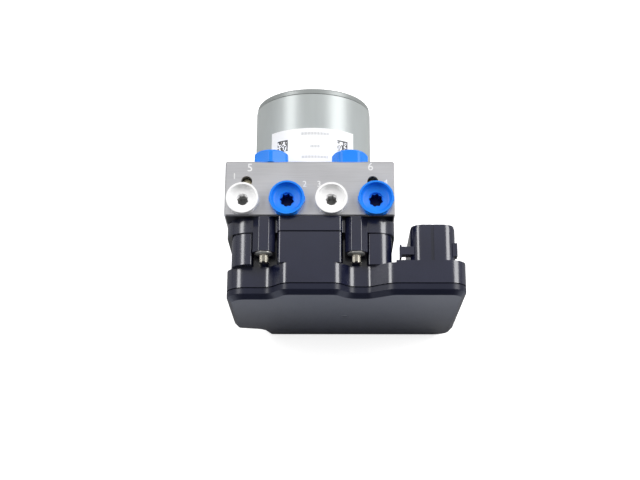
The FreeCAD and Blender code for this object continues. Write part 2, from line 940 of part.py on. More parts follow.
def body_outline():
    """Control unit below the collar: the same lobes and panel, with a bay at each screw."""
    notch = unit_back - bottom_notch
    return outline([(body_left, lobe_set_back, lobe_round_left), (screw_bay_left, lobe_set_back, 1),
                    (screw_bay_left, screw_bay_depth, 1), (middle_left, screw_bay_depth, 1),
                    (middle_left, unit_front, 1.8), (middle_right, unit_front, 1.5),
                    (middle_right, screw_bay_depth, 1), (screw_bay_right, screw_bay_depth, 1),
                    (screw_bay_right, lobe_set_back, 1), (body_right, lobe_set_back, lobe_round_right),
                    (body_right, unit_back, lobe_round_right), (bottom_notch_end, unit_back, 3),
                    (bottom_notch_end, notch, 3), (body_left, notch, 5)])


def flange_outline():
    """Widest outline of the control unit, shared by its flange and its cover."""
    notch = unit_back - bottom_notch
    near_left = middle_left + left_ledge
    near_right = middle_right + right_ledge
    corner = flange_corner_round
    return outline([(unit_left, left_notch, flange_left_round), (near_left - flange_slope, left_notch, corner),
                    (near_left, unit_front, corner), (near_right - far_slope, unit_front, corner),
                    (near_right, right_notch, corner), (screw_bay_right, right_notch, far_foot_round),
                    (screw_bay_right + far_shoulder, unit_front, far_top_round),
                    (unit_right, unit_front, flange_right_round),
                    (unit_right, unit_back, flange_low_round), (bottom_notch_end, unit_back, 4),
                    (bottom_notch_end - notch_slope, notch, 5), (unit_left, notch - notch_slope, 5)])


def screw_tower(x, drop):
    """Tower of a control unit screw, flat in front with two sloped sides."""
    half = tower_width / 2
    flat = tower_flat / 2
    corners = [(x - half, tower_back, 0), (x - half, drop + tower_shoulder, 0.8), (x - flat, drop, 0.8),
               (x + flat, drop, 0.8), (x + half, drop + tower_shoulder, 0.8), (x + half, tower_back, 0)]
    return slab(outline(corners), unit_face, tower_end)


def corner_tower():
    """Tower of the screw at the bottom corner."""
    corners = [(body_left, port_face - corner_tower_top, 2), (corner_tower_right, port_face - corner_tower_top, 2),
               (corner_tower_right, unit_back, 2), (body_left, unit_back, 5)]
    return slab(outline(corners), unit_face, tower_end)


def rounded_box(x_range, z_range, radius, y_from, y_to):
    corners = [(x_range[0], port_face - z_range[0], radius), (x_range[1], port_face - z_range[0], radius),
               (x_range[1], port_face - z_range[1], radius), (x_range[0], port_face - z_range[1], radius)]
    return slab(outline(corners), y_from, y_to)


def connector_shroud():
    """Open-topped wall around the pins, with the lock rails on both sides."""
    shell = rounded_box((shroud_left, shroud_right), (shroud_back, shroud_front), shroud_round,
                        pad_top, shroud_top - mouth_rim)
    mouth = rounded_box((shroud_left + mouth_set_back, shroud_right - mouth_set_back),
                        (shroud_back + mouth_set_back, shroud_front - mouth_set_back),
                        shroud_round - mouth_set_back, shroud_top - mouth_rim, shroud_top)
    groove_x = (shroud_left + shroud_right) / 2 + shroud_groove_offset
    half_groove = shroud_groove_width / 2
    shell = shell.fuse(mouth).cut(box((groove_x - half_groove, groove_x + half_groove), (pad_top, shroud_top),
                                      (shroud_front - shroud_groove_depth, shroud_front)))
    rail_back = rail_front - rail_length
    rail = box((shroud_left - rail_reach, shroud_left + shroud_wall), (rail_low, rail_high), (rail_back, rail_front))
    fin = box((shroud_left - rail_reach, shroud_left - rail_reach + fin_thickness), (fin_low, fin_high),
              (rail_back, rail_front))
    boss = box((shroud_right - shroud_wall, shroud_right + boss_reach), (boss_low, boss_high),
               (rail_back, rail_front))
    return shell.fuse([rail, fin, boss])


def shroud_cavity():
    return rounded_box((shroud_left + shroud_wall, shroud_right - shroud_wall),
                       (shroud_back + shroud_wall, shroud_front - shroud_wall),
                       shroud_round - shroud_wall, shroud_floor, shroud_top)


def unit_middle():
    """Middle of the cover's outer face."""
    return V((unit_left + unit_right) / 2, cover_end, port_face - (unit_front + unit_back) / 2)


def post_places():
    """Posts that carry the circuit board, near the corners of its room."""
    low = port_face - unit_back + post_inset
    high = port_face - screw_bay_depth - post_inset
    left = unit_left + post_inset
    right = unit_right - post_inset
    return [(left, high), (right, high), (right, low + low_post_lift), (bottom_notch_end + post_inset, low)]


def ecu_housing():
    """Moulded housing: collar, body, flange, screw towers and connector shroud, open on two sides."""
    body_wire = body_outline()
    flange_wire = flange_outline()
    groove_end = collar_end - groove_width
    collar = slab(collar_outline(), unit_face, collar_end)
    neck = slab(inset(body_wire, groove_depth), collar_end, groove_end)
    body = slab(body_wire, groove_end, flange_top)
    flange = slab(flange_wire, flange_top, seam)
    pad = slab(flange_wire, pad_top, flange_top)
    pad = pad.common(box((pad_left, unit_right + 1), (flange_top, pad_top), (0, port_face)))
    towers = [screw_tower(tower_left, unit_front), screw_tower(tower_right, unit_front), corner_tower()]
    solid = collar.fuse([neck, body, flange, pad, connector_shroud()] + towers)
    peg = cylinder(peg_radius, peg_length, V(peg_x, unit_face, peg_z), AWAY)
    coil_room = slab(inset(body_wire, unit_wall), unit_face, partition_top)
    board_room = slab(inset(flange_wire, unit_wall), partition_top - partition, seam)
    solid = solid.cut([coil_room, board_room, shroud_cavity()]).fuse(peg)
    peg_web = box((peg_x - peg_radius, collar_right - unit_wall), (collar_end, unit_face),
                  (port_face - unit_back, peg_z + peg_radius))
    solid = solid.fuse(peg_web.common(collar))
    posts = [cylinder(post_radius, partition_top - partition - board_level, V(x, board_level, z), AWAY)
             for x, z in post_places()]
    solid = solid.fuse(posts)
    cuts = [housing_gasket()]
    for place in unit_screw_places():
        cuts.append(cylinder(unit_screw_hole, unit_face - tower_end, place, AWAY))
    z = motor_z + terminal_rise
    cuts.append(box((motor_x - terminal_bore, motor_x + terminal_bore), (partition_top - partition, partition_top),
                    (z - terminal_bore, z + terminal_bore)))
    return solid.cut(cuts).removeSplitter()


def housing_gasket():
    """Seal in the end of the housing's wall, inside the line of the screws."""
    outer = slab(inset(body_outline(), gasket_inset), unit_face, unit_face - gasket_height)
    return outer.cut(slab(inset(body_outline(), gasket_inset + gasket_width), unit_face, unit_face - gasket_height))


def ecu_cover():
    """Bevelled cover over the circuit board, set back at its seam, with a moulding gate mark in the middle."""
    wire = flange_outline()
    plate = slab(wire, seam - seam_width, cover_end)
    rim = [edge for edge in plate.Edges if all(abs(v.Point.y - cover_end) < 1e-6 for v in edge.Vertexes)]
    plate = plate.makeChamfer(cover_bevel, rim)
    plate = plate.fuse(slab(inset(wire, seam_depth), seam, seam - seam_width))
    plate = plate.cut(slab(inset(wire, cover_wall), seam, cover_end + cover_floor))
    return plate.cut(cylinder(gate_radius, gate_depth, unit_middle(), AWAY))


def connector_pins():
    """Rows of small pins and a row of wide blades, standing in the shroud's floor."""
    middle_x = (shroud_left + shroud_right) / 2
    first = shroud_front - shroud_wall - pin_pitch
    pins = []
    for row in range(pin_rows):
        x = middle_x + (row - (pin_rows - 1) / 2) * pin_row_spread
        for column in range(pin_columns):
            z = first - column * pin_pitch
            pins.append(box((x - pin_size / 2, x + pin_size / 2), (shroud_floor, pin_top),
                            (z - pin_size / 2, z + pin_size / 2)))
    last = shroud_back + shroud_wall + blade_pitch / 2
    for i in range(blade_count):
        x = middle_x + (i % 2 - 0.5) * blade_pitch
        z = last + (i // 2) * blade_pitch
        pins.append(box((x - blade_width / 2, x + blade_width / 2), (shroud_floor, pin_top),
                        (z - blade_thickness / 2, z + blade_thickness / 2)))
    return Part.makeCompound(pins)


def circuit_board():
    wire = inset(flange_outline(), unit_wall + board_gap)
    return slab(wire, board_level, board_level - board_thickness)


def board_components():
    """Processor, driver chips, capacitors and the motor relay, on the cover's side of the board."""
    face = board_level - board_thickness
    parts = []
    for x, up, width, height, thickness in board_parts:
        z = unit_middle().z + up
        parts.append(box((x - width / 2, x + width / 2), (face - thickness, face), (z - height / 2, z + height / 2)))
    return Part.makeCompound(parts)


def fluted_head(seat):
    """Head with a flute between each two of its lobes."""
    shoulder = screw_head_height - screw_head_bevel
    head = turned([(0, 0), (screw_head_radius, 0), (screw_head_radius, shoulder),
                   (screw_head_radius - screw_head_bevel, screw_head_height), (0, screw_head_height)], seat, NEAR)
    flutes = []
    for i in range(screw_lobes):
        angle = 2 * math.pi * i / screw_lobes
        across = V(math.cos(angle), 0, math.sin(angle)) * (screw_head_radius + flute_radius - flute_depth)
        flutes.append(cylinder(flute_radius, screw_head_height, seat + across, NEAR))
    return head.cut(flutes)


def unit_screws():
    """Screws with six-lobed heads, through the towers into the block."""
    screws = []
    length = unit_face - tower_end + unit_screw_bite - unit_screw_end_gap + washer_thickness
    for place in unit_screw_places():
        seat = place + NEAR * washer_thickness
        shank = cylinder(unit_screw_radius, length, seat, AWAY)
        screws.append(fluted_head(seat).fuse(shank))
    return Part.makeCompound(screws)


def screw_washers():
    """Washers that slope from the screw's head to a thin edge."""
    hole = unit_screw_radius + slide_gap
    profile = [(hole, 0), (washer_radius, 0), (washer_radius, washer_edge), (screw_head_radius, washer_thickness),
               (hole, washer_thickness)]
    return Part.makeCompound([turned(profile, place, NEAR) for place in unit_screw_places()])


def plug_shank(port_radius, length, mouth, direction):
    radius = port_radius - plug_gap
    profile = [(0, -length), (radius - shank_bevel, -length), (radius, shank_bevel - length), (radius, 0), (0, 0)]
    return turned(profile, mouth, direction)


def wheel_plug(number):
    """Plug of a wheel port: shank, hexagonal skirt, round rim, cupped top and a star socket."""
    mouth, port_radius = wheel_port(number)
    small = number % 2 == 0
    rim, height = (small_rim_radius, small_rim_height) if small else (large_rim_radius, large_rim_height)
    hex_size, hex_round = (small_hex, small_rim_radius) if small else (large_hex, large_hex_round)
    cup, floor = (small_cup_radius, small_cup_floor) if small else (large_cup_radius, large_cup_floor)
    tip, valley = (small_star_tip, small_star_valley) if small else (large_star_tip, large_star_valley)
    shank_length = small_shank_length if small else large_shank_length
    shank = plug_shank(port_radius, shank_length, mouth, UP)
    skirt = hexagon(hex_size, hex_height, mouth, UP).common(cylinder(hex_round, hex_height, mouth))
    top = cylinder(rim, height - hex_height, mouth + UP * hex_height)
    plug = skirt.fuse([shank, top])
    neck = tip + neck_margin
    dish = turned([(0, floor), (neck, floor), (neck, neck_top),
                   (cup - cup_wall_lean, neck_top + cup_foot_rise, cup_round), (cup, height), (0, height)], mouth)
    return plug.cut([dish, star(tip, valley, star_depth, mouth + UP * floor, DOWN)])


def master_plug(side):
    """Plug of a master cylinder port: a bevelled hexagonal head with a star socket."""
    mouth = master_port(side)
    clocking = 0.0 if side > 0 else 30.0
    head = hexagon(master_hex, master_head_height, mouth, AWAY, clocking)
    turned_head = turned([(0, 0), (master_hex_round, 0), (master_hex_round, master_head_height - master_head_chamfer),
                          (master_hex_round - master_head_chamfer, master_head_height), (0, master_head_height)],
                         mouth, AWAY)
    shank = plug_shank(large_port_radius, large_shank_length, mouth, AWAY)
    floor = master_head_height - master_cup_depth
    dish = turned([(0, floor), (large_star_tip, floor), (master_cup_radius, master_head_height),
                   (0, master_head_height)], mouth, AWAY)
    socket = star(large_star_tip, large_star_valley, master_star_depth, mouth + AWAY * floor, NEAR)
    return head.common(turned_head).fuse(shank).cut([dish, socket])


def all_parts():
    """Every piece of the module, by name."""
    places = valve_places()
    rows = [places[i:i + valve_columns] for i in range(0, len(places), valve_columns)]
    inlet_row, outlet_row, circuit_row = rows
    parts = {
        "hydraulic_block": hydraulic_block(),
        "channel_balls": channel_balls(),
        "motor_can": motor_can(),
        "motor_end_shield": motor_end_shield(),
        "motor_screws": motor_screws(),
        "motor_label": motor_label(),
        "motor_magnets": motor_magnets(),
        "brush_holder": brush_holder(),
        "motor_brushes": motor_brushes(),
        "motor_terminals": motor_terminals(),
        "front_bearing_outer": front_bearing_outer(),
        "front_bearing_inner": front_bearing_inner(),
        "rear_bush": rear_bush(),
        "rotor_shaft": rotor_shaft(),
        "rotor_core": rotor_core(),
        "rotor_windings": rotor_windings(),
        "commutator": commutator(),
        "eccentric_ring": eccentric_ring(),
        "pump_piston_left": pump_piston(-1),
        "pump_piston_right": pump_piston(1),
        "pump_sleeves": pump_sleeves(),
        "pump_caps": pump_caps(),
        "pump_springs": pump_springs(),
        "accumulator_piston_left": accumulator_piston(-1),
        "accumulator_piston_right": accumulator_piston(1),
        "accumulator_spring_left": accumulator_spring(-1),
        "accumulator_spring_right": accumulator_spring(1),
        "accumulator_caps": accumulator_caps(),
        "wheel_valve_bodies": valve_bodies(inlet_row + outlet_row),
        "circuit_valve_bodies": valve_bodies(circuit_row),
        "solenoid_coils": solenoid_coils(),
        "pressure_sensor": pressure_sensor(),
        "ecu_housing": ecu_housing(),
        "housing_gasket": housing_gasket(),
        "ecu_cover": ecu_cover(),
        "connector_pins": connector_pins(),
        "circuit_board": circuit_board(),
        "board_components": board_components(),
        "ecu_screws": unit_screws(),
        "screw_washers": screw_washers(),
        "master_plug_left": master_plug(-1),
        "master_plug_right": master_plug(1),
    }
    for number in range(wheel_ports):
        parts["wheel_plug_%d" % (number + 1)] = wheel_plug(number)
    for number in range(valve_columns):
        closed = number in closed_circuit_valves
        parts["inlet_armature_%d" % (number + 1)] = valve_armature(inlet_row[number], False)
        parts["outlet_armature_%d" % (number + 1)] = valve_armature(outlet_row[number], True)
        parts["circuit_armature_%d" % (number + 1)] = valve_armature(circuit_row[number], closed)
    return parts


def main():
    os.makedirs("parts", exist_ok=True)
    for name, shape in all_parts().items():
        if not shape.isValid():
            raise ValueError("invalid shape: " + name)
        shape.exportStep("parts/%s.step" % name)


main()
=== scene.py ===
"""Dressed model of an anti-lock brake module: block, pump motor, control unit and port plugs."""

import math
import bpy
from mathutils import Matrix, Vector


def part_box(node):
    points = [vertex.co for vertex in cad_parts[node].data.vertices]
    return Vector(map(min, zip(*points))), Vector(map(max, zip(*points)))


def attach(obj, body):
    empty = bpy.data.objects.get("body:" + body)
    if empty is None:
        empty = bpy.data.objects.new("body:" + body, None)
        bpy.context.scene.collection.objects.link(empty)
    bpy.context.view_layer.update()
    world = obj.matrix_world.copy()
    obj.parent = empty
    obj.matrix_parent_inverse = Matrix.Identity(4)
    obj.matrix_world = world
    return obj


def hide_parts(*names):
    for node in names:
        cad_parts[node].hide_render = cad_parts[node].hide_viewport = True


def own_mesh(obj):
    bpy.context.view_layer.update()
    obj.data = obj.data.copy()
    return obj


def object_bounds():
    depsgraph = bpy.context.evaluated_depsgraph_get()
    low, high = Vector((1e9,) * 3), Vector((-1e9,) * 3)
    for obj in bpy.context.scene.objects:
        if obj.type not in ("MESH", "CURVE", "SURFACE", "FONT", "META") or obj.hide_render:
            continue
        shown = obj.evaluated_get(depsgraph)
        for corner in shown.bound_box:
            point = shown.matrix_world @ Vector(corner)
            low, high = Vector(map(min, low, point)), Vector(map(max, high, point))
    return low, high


bl_info = {
    "name": "Anti-lock brake module",
    "version": (1, 0, 0),
    "blender": (4, 5, 0),
    "location": "3D View > Sidebar > Brake Module",
    "description": "Dresses the packed solids of a hydraulic brake module with detailed pieces and finishes",
    "category": "Add Mesh",
}

import bmesh
import bpy
from mathutils import Matrix, Vector

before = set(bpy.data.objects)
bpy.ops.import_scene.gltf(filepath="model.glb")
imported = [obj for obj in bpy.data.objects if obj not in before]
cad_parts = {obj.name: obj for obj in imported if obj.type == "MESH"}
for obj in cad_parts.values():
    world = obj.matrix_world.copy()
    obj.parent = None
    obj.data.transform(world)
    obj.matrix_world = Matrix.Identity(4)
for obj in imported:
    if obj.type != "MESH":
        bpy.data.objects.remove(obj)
cad_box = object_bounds()

MM = 0.001
ROOT = "module"
WHITE = (1.0, 1.0, 1.0, 1.0)

# Face attribute that a finish reads for its painted light colour: painted shade or a painted highlight on the
# marked faces
PAINTED_LIGHT = "painted_light"

# Points of a built mesh that lie nearer than this are joined
MERGE = 1e-7

# Points nearer than this lie at one place, in a solid's mesh and on the circles of a spun body
SAME_PLACE = 1e-6

# Width of the camera's sensor in millimetres
SENSOR_WIDTH = 36.0

# The softboxes turn about one point, at one distance from it
LAMP_CENTRE = Vector((0.02, -0.02, 0.08))
LAMP_DISTANCE = 1.3
LAMP_LENGTH = 1.1

# The room's light changes over these stretches, from -1 in front of the object to 1 behind it
ROOM_FRONT = (-0.95, 0.1)
ROOM_RISE = (0.24, 0.38)
ROOM_FALL = (0.55, 1.0)

# Half the floor's width, and the share of its colour that reflections show, a darker floor painted into
# reflections only
FLOOR_HALF = 4.0
FLOOR_IN_REFLECTIONS = 0.45

# Port numbers: digit, place across and along the port face in millimetres, share of the full height
PORT_NUMBERS = (
    ("1", -44.5, 7.5, 0.75),
    ("2", -3.0, 2.6, 0.75),
    ("3", 5.5, 2.6, 0.75),
    ("4", 44.8, 3.6, 0.75),
    ("5", -35.4, 12.8, 1.0),
    ("6", 35.9, 13.4, 1.0),
)
FONT_PER_HEIGHT = 1.4

# Print on the label, in shares of its width and height
CODE_PLACES = ((0.155, 0.60), (0.85, 0.60))
CODE_HALF = (0.066, 0.143)
CODE_EDGE_HALF = (0.0075, 0.018)
CODE_CELLS = (75.0, 32.0, 1.0)
CODE_FILL = 0.52
ROW_MIDDLE = 0.53
ROW_HALF_HEIGHT = 0.032
ROWS = ((0.86, 0.155), (0.53, 0.055), (0.26, 0.15))
ROW_STROKES = 62.0
ROW_STROKE_SHARE = 0.62
ROW_TONE = 0.45

# From just below the floor to just below the mouth of a socket, in millimetres above the shank's end: the
# stretch painted with shade
WHITE_SOCKET = (1.4, 8.4)
BLUE_SOCKET = (2.9, 9.9)
MASTER_SOCKET = (9.1, 17.1)


# Sizes read from the solids

def middle(node):
    """Middle of a node's box."""
    low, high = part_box(node)
    return (low + high) / 2


def port_face():
    """Height of the block's upper face."""
    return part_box("hydraulic_block")[1].z


def can_axis():
    """Point on the motor can's axis, and the can's radius."""
    low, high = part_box("motor_can")
    return Vector(((low.x + high.x) / 2, 0.0, (low.z + high.z) / 2)), (high.x - low.x) / 2


# Node groups shared by the finishes

def new_group(name, inputs, outputs):
    """Empty shader group with named sockets, its input node and its output node."""
    group = bpy.data.node_groups.new(name, "ShaderNodeTree")
    for label, kind, default in inputs:
        socket = group.interface.new_socket(name=label, in_out="INPUT", socket_type="NodeSocket" + kind)
        if default is not None:
            socket.default_value = default
    for label, kind in outputs:
        group.interface.new_socket(name=label, in_out="OUTPUT", socket_type="NodeSocket" + kind)
    return group, group.nodes.new("NodeGroupInput"), group.nodes.new("NodeGroupOutput")


def math_node(tree, operation, *values):
    """Math node whose inputs are sockets or plain numbers; returns its output."""
    node = tree.nodes.new("ShaderNodeMath")
    node.operation = operation
    for i, value in enumerate(values):
        if isinstance(value, (int, float)):
            node.inputs[i].default_value = value
        else:
            tree.links.new(value, node.inputs[i])
    return node.outputs[0]


def grain_group():
    """Even, cloudy grain of a moulded or plated surface."""
    name = "Surface grain"
    if name in bpy.data.node_groups:
        return bpy.data.node_groups[name]
    group, entry, leave = new_group(name, [("Vector", "Vector", None), ("Stretch", "Vector", (1.0, 1.0, 1.0)),
                                           ("Scale", "Float", 500.0), ("Detail", "Float", 3.0)],
                                    [("Mask", "Float")])
    stretch = group.nodes.new("ShaderNodeVectorMath")
    stretch.operation = "MULTIPLY"
    noise = group.nodes.new("ShaderNodeTexNoise")
    group.links.new(entry.outputs["Vector"], stretch.inputs[0])
    group.links.new(entry.outputs["Stretch"], stretch.inputs[1])
    group.links.new(stretch.outputs[0], noise.inputs["Vector"])
    group.links.new(entry.outputs["Scale"], noise.inputs["Scale"])
    group.links.new(entry.outputs["Detail"], noise.inputs["Detail"])
    spread = group.nodes.new("ShaderNodeMapRange")
    spread.inputs["From Min"].default_value = 0.3
    spread.inputs["From Max"].default_value = 0.7
    group.links.new(noise.outputs[0], spread.inputs["Value"])
    group.links.new(spread.outputs[0], leave.inputs["Mask"])
    return group


def tone_group():
    """Colour that a mask makes darker or lighter."""
    name = "Tone by mask"
    if name in bpy.data.node_groups:
        return bpy.data.node_groups[name]
    group, entry, leave = new_group(name, [("Dark", "Color", (0.4, 0.4, 0.4, 1.0)),
                                           ("Light", "Color", (0.6, 0.6, 0.6, 1.0)), ("Mask", "Float", 0.5)],
                                    [("Color", "Color")])
    mix = group.nodes.new("ShaderNodeMix")
    mix.data_type = "RGBA"
    group.links.new(entry.outputs["Mask"], mix.inputs["Factor"])
    group.links.new(entry.outputs["Dark"], mix.inputs["A"])
    group.links.new(entry.outputs["Light"], mix.inputs["B"])
    group.links.new(mix.outputs["Result"], leave.inputs["Color"])
    return group


def range_group():
    """Value between two limits, by a mask."""
    name = "Value by mask"
    if name in bpy.data.node_groups:
        return bpy.data.node_groups[name]
    group, entry, leave = new_group(name, [("Low", "Float", 0.3), ("High", "Float", 0.5),
                                           ("Mask", "Float", 0.5)], [("Value", "Float")])
    spread = group.nodes.new("ShaderNodeMapRange")
    group.links.new(entry.outputs["Mask"], spread.inputs["Value"])
    group.links.new(entry.outputs["Low"], spread.inputs["To Min"])
    group.links.new(entry.outputs["High"], spread.inputs["To Max"])
    group.links.new(spread.outputs[0], leave.inputs["Value"])
    return group


def bar_group():
    """Mask of one printed bar on a label's own U and V."""
    name = "Printed bar"
    if name in bpy.data.node_groups:
        return bpy.data.node_groups[name]
    group, entry, leave = new_group(name, [("U", "Float", 0.0), ("V", "Float", 0.0),
                                           ("Middle U", "Float", 0.5), ("Middle V", "Float", 0.5),
                                           ("Half Width", "Float", 0.1), ("Half Height", "Float", 0.02)],
                                    [("Mask", "Float")])
    sides = []
    for along, centre, half in (("U", "Middle U", "Half Width"), ("V", "Middle V", "Half Height")):
        away = math_node(group, "SUBTRACT", entry.outputs[along], entry.outputs[centre])
        away = math_node(group, "ABSOLUTE", away)
        sides.append(math_node(group, "LESS_THAN", away, entry.outputs[half]))
    group.links.new(math_node(group, "MULTIPLY", *sides), leave.inputs["Mask"])
    return group


def smooth_ramp(tree, value, low, high, rise):
    """Output that goes smoothly from nothing to a rise as a value passes between two limits."""
    ramp = tree.nodes.new("ShaderNodeMapRange")
    ramp.interpolation_type = "SMOOTHSTEP"
    ramp.inputs["From Min"].default_value = low
    ramp.inputs["From Max"].default_value = high
    ramp.inputs["To Max"].default_value = rise
    tree.links.new(value, ramp.inputs["Value"])
    return ramp.outputs[0]


def use_group(tree, group, values):
    """Group node with plain values or links on its named inputs."""
    node = tree.nodes.new("ShaderNodeGroup")
    node.node_tree = group
    for label, value in values.items():
        if isinstance(value, bpy.types.NodeSocket):
            tree.links.new(value, node.inputs[label])
        else:
            node.inputs[label].default_value = value
    return node.outputs[0]


# Finishes

def rgba(colour, factor=1.0):
    return tuple(min(1.0, c * factor) for c in colour[:3]) + (1.0,)


def new_finish(name):
    """Material with its Principled shader, and the Object coordinates of the piece."""
    material = bpy.data.materials.new(name)
    material.use_nodes = True
    tree = material.node_tree
    shader = tree.nodes["Principled BSDF"]
    place = tree.nodes.new("ShaderNodeTexCoord").outputs["Object"]
    return material, tree, shader, place


def add_relief(tree, shader, height, strength, distance):
    """Bumps a finish by a mask."""
    relief = tree.nodes.new("ShaderNodeBump")
    relief.inputs["Strength"].default_value = strength
    relief.inputs["Distance"].default_value = distance
    tree.links.new(height, relief.inputs["Height"])
    tree.links.new(relief.outputs["Normal"], shader.inputs["Normal"])


def finish(name, colour, rough, metal=0.0, tone=0.12, stretch=(1.0, 1.0, 1.0), scale=400.0, bump=0.0,
           cloud=60.0, level=0.5, painted_light=None):
    """Finish with a fine grain on its colour, roughness and surface, and a broad, faint cloudiness.

    Faces that their piece marks get a painted light colour, which is painted shade on most pieces and a
    painted highlight on the gate mark."""
    material, tree, shader, place = new_finish(name)
    shader.inputs["Metallic"].default_value = metal
    shader.inputs["Specular IOR Level"].default_value = level
    grain = use_group(tree, grain_group(), {"Vector": place, "Stretch": stretch, "Scale": scale,
                                            "Detail": 3.0})
    clouds = use_group(tree, grain_group(), {"Vector": place, "Scale": cloud, "Detail": 1.0})
    both = math_node(tree, "MULTIPLY_ADD", clouds, 0.5, math_node(tree, "MULTIPLY", grain, 0.5))
    shade = use_group(tree, tone_group(), {"Dark": rgba(colour, 1 - tone), "Light": rgba(colour, 1 + tone),
                                           "Mask": both})
    if painted_light:
        mark = tree.nodes.new("ShaderNodeAttribute")
        mark.attribute_name = PAINTED_LIGHT
        shade = use_group(tree, tone_group(), {"Dark": shade, "Light": rgba(painted_light),
                                               "Mask": mark.outputs["Fac"]})
    tree.links.new(shade, shader.inputs["Base Color"])
    low, high = rough
    value = use_group(tree, range_group(), {"Low": low, "High": high, "Mask": both})
    tree.links.new(value, shader.inputs["Roughness"])
    if bump > 0:
        add_relief(tree, shader, grain, 1.0, bump)
    return material


def label_finish(paper, ink):
    """Printed film: white, with two patches of small squares and three rows of short grey bars."""
    material, tree, shader, place = new_finish("Motor label")
    shader.inputs["Roughness"].default_value = 0.42
    chart = tree.nodes.new("ShaderNodeUVMap")
    chart.uv_map = "LabelChart"
    split = tree.nodes.new("ShaderNodeSeparateXYZ")
    tree.links.new(chart.outputs["UV"], split.inputs[0])
    u, v = split.outputs["X"], split.outputs["Y"]

    def bar(middle_u, middle_v, half_u, half_v):
        return use_group(tree, bar_group(), {"U": u, "V": v, "Middle U": middle_u, "Middle V": middle_v,
                                             "Half Width": half_u, "Half Height": half_v})

    cells = tree.nodes.new("ShaderNodeVectorMath")
    cells.operation = "MULTIPLY"
    cells.inputs[1].default_value = CODE_CELLS
    tree.links.new(chart.outputs["UV"], cells.inputs[0])
    floor = tree.nodes.new("ShaderNodeVectorMath")
    floor.operation = "FLOOR"
    tree.links.new(cells.outputs[0], floor.inputs[0])
    dots = tree.nodes.new("ShaderNodeTexWhiteNoise")
    dots.noise_dimensions = "2D"
    tree.links.new(floor.outputs[0], dots.inputs["Vector"])
    dark = math_node(tree, "LESS_THAN", dots.outputs["Value"], CODE_FILL)
    half_u, half_v = CODE_HALF
    edge_u, edge_v = CODE_EDGE_HALF
    masks = []
    for centre_u, centre_v in CODE_PLACES:
        masks.append(math_node(tree, "MULTIPLY", bar(centre_u, centre_v, half_u, half_v), dark))
        masks.append(bar(centre_u, centre_v + half_v - edge_v, half_u, edge_v))
        masks.append(bar(centre_u + half_u - edge_u, centre_v, edge_u, half_v))
    strokes = math_node(tree, "FRACT", math_node(tree, "MULTIPLY", u, ROW_STROKES))
    strokes = math_node(tree, "LESS_THAN", strokes, ROW_STROKE_SHARE)
    for centre_v, row_half in ROWS:
        row = math_node(tree, "MULTIPLY", bar(ROW_MIDDLE, centre_v, row_half, ROW_HALF_HEIGHT), strokes)
        masks.append(math_node(tree, "MULTIPLY", row, ROW_TONE))
    printed = masks[0]
    for mask in masks[1:]:
        printed = math_node(tree, "MAXIMUM", printed, mask)
    shade = use_group(tree, tone_group(), {"Dark": rgba(paper), "Light": rgba(ink), "Mask": printed})
    tree.links.new(shade, shader.inputs["Base Color"])
    grain = use_group(tree, grain_group(), {"Vector": place, "Scale": 900.0, "Detail": 2.0})
    add_relief(tree, shader, grain, 0.4, 0.02 * MM)
    return material


# Mesh helpers

def add_piece(name, mesh_data, material, body, replaced=()):
    """Object for a finished mesh, riding on a body and standing for the CAD nodes it replaces."""
    mesh_data.materials.clear()
    mesh_data.materials.append(material)
    piece = bpy.data.objects.new(name, mesh_data)
    bpy.context.scene.collection.objects.link(piece)
    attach(piece, body)
    if replaced:
        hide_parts(*replaced)
    return piece


def shade_by_angle(bm, degrees):
    """Smooth faces, with the edges that turn more than this kept sharp."""
    limit = math.radians(degrees)
    for face in bm.faces:
        face.smooth = True
    for edge in bm.edges:
        edge.smooth = len(edge.link_faces) == 2 and edge.calc_face_angle() < limit


def to_mesh(bm, name, degrees=32.0):
    shade_by_angle(bm, degrees)
    data = bpy.data.meshes.new(name)
    bm.to_mesh(data)
    bm.free()
    return data


def weighted(piece):
    modifier = piece.modifiers.new("Even shading", "WEIGHTED_NORMAL")
    modifier.keep_sharp = True
    modifier.weight = 50


def merged_copy(node):
    """CAD node's mesh with its loose triangles joined."""
    bm = bmesh.new()
    bm.from_mesh(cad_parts[node].data)
    bmesh.ops.remove_doubles(bm, verts=bm.verts, dist=SAME_PLACE)
    return bm


def mark_painted_light(bm, test):
    """Marks the faces whose middle and normal pass a test, for the finish's painted light colour."""
    layer = bm.faces.layers.float.new(PAINTED_LIGHT)
    for face in bm.faces:
        face[layer] = 1.0 if test(face.calc_center_median(), face.normal) else 0.0


def softened(node, material, body, width=0.0, degrees=32.0, painted_light=None):
    """Copy of a CAD node with even shading and, where a width is given, rounded edges.

    A test of a face's middle and normal marks the faces that get the finish's painted light colour."""
    bm = merged_copy(node)
    if painted_light:
        mark_painted_light(bm, painted_light)
    if width > 0:
        bmesh.ops.dissolve_limit(bm, angle_limit=math.radians(1.0), verts=bm.verts, edges=bm.edges,
                                 use_dissolve_boundaries=False, delimit={"NORMAL"})
    name = node + "_dressed"
    piece = add_piece(name, to_mesh(bm, name, degrees), material, body, (node,))
    if width > 0:
        edge = piece.modifiers.new("Rounded edges", "BEVEL")
        edge.width = width
        edge.segments = 2
        edge.limit_method = "ANGLE"
        edge.angle_limit = math.radians(degrees)
        edge.use_clamp_overlap = True
        edge.miter_outer = "MITER_ARC"
    weighted(piece)
    return piece


def on_circle(point, radius, height):
    """Whether a point lies on a circle about the Z axis."""
    return abs(math.hypot(point.x, point.y) - radius) < SAME_PLACE and abs(point.z - height) < SAME_PLACE


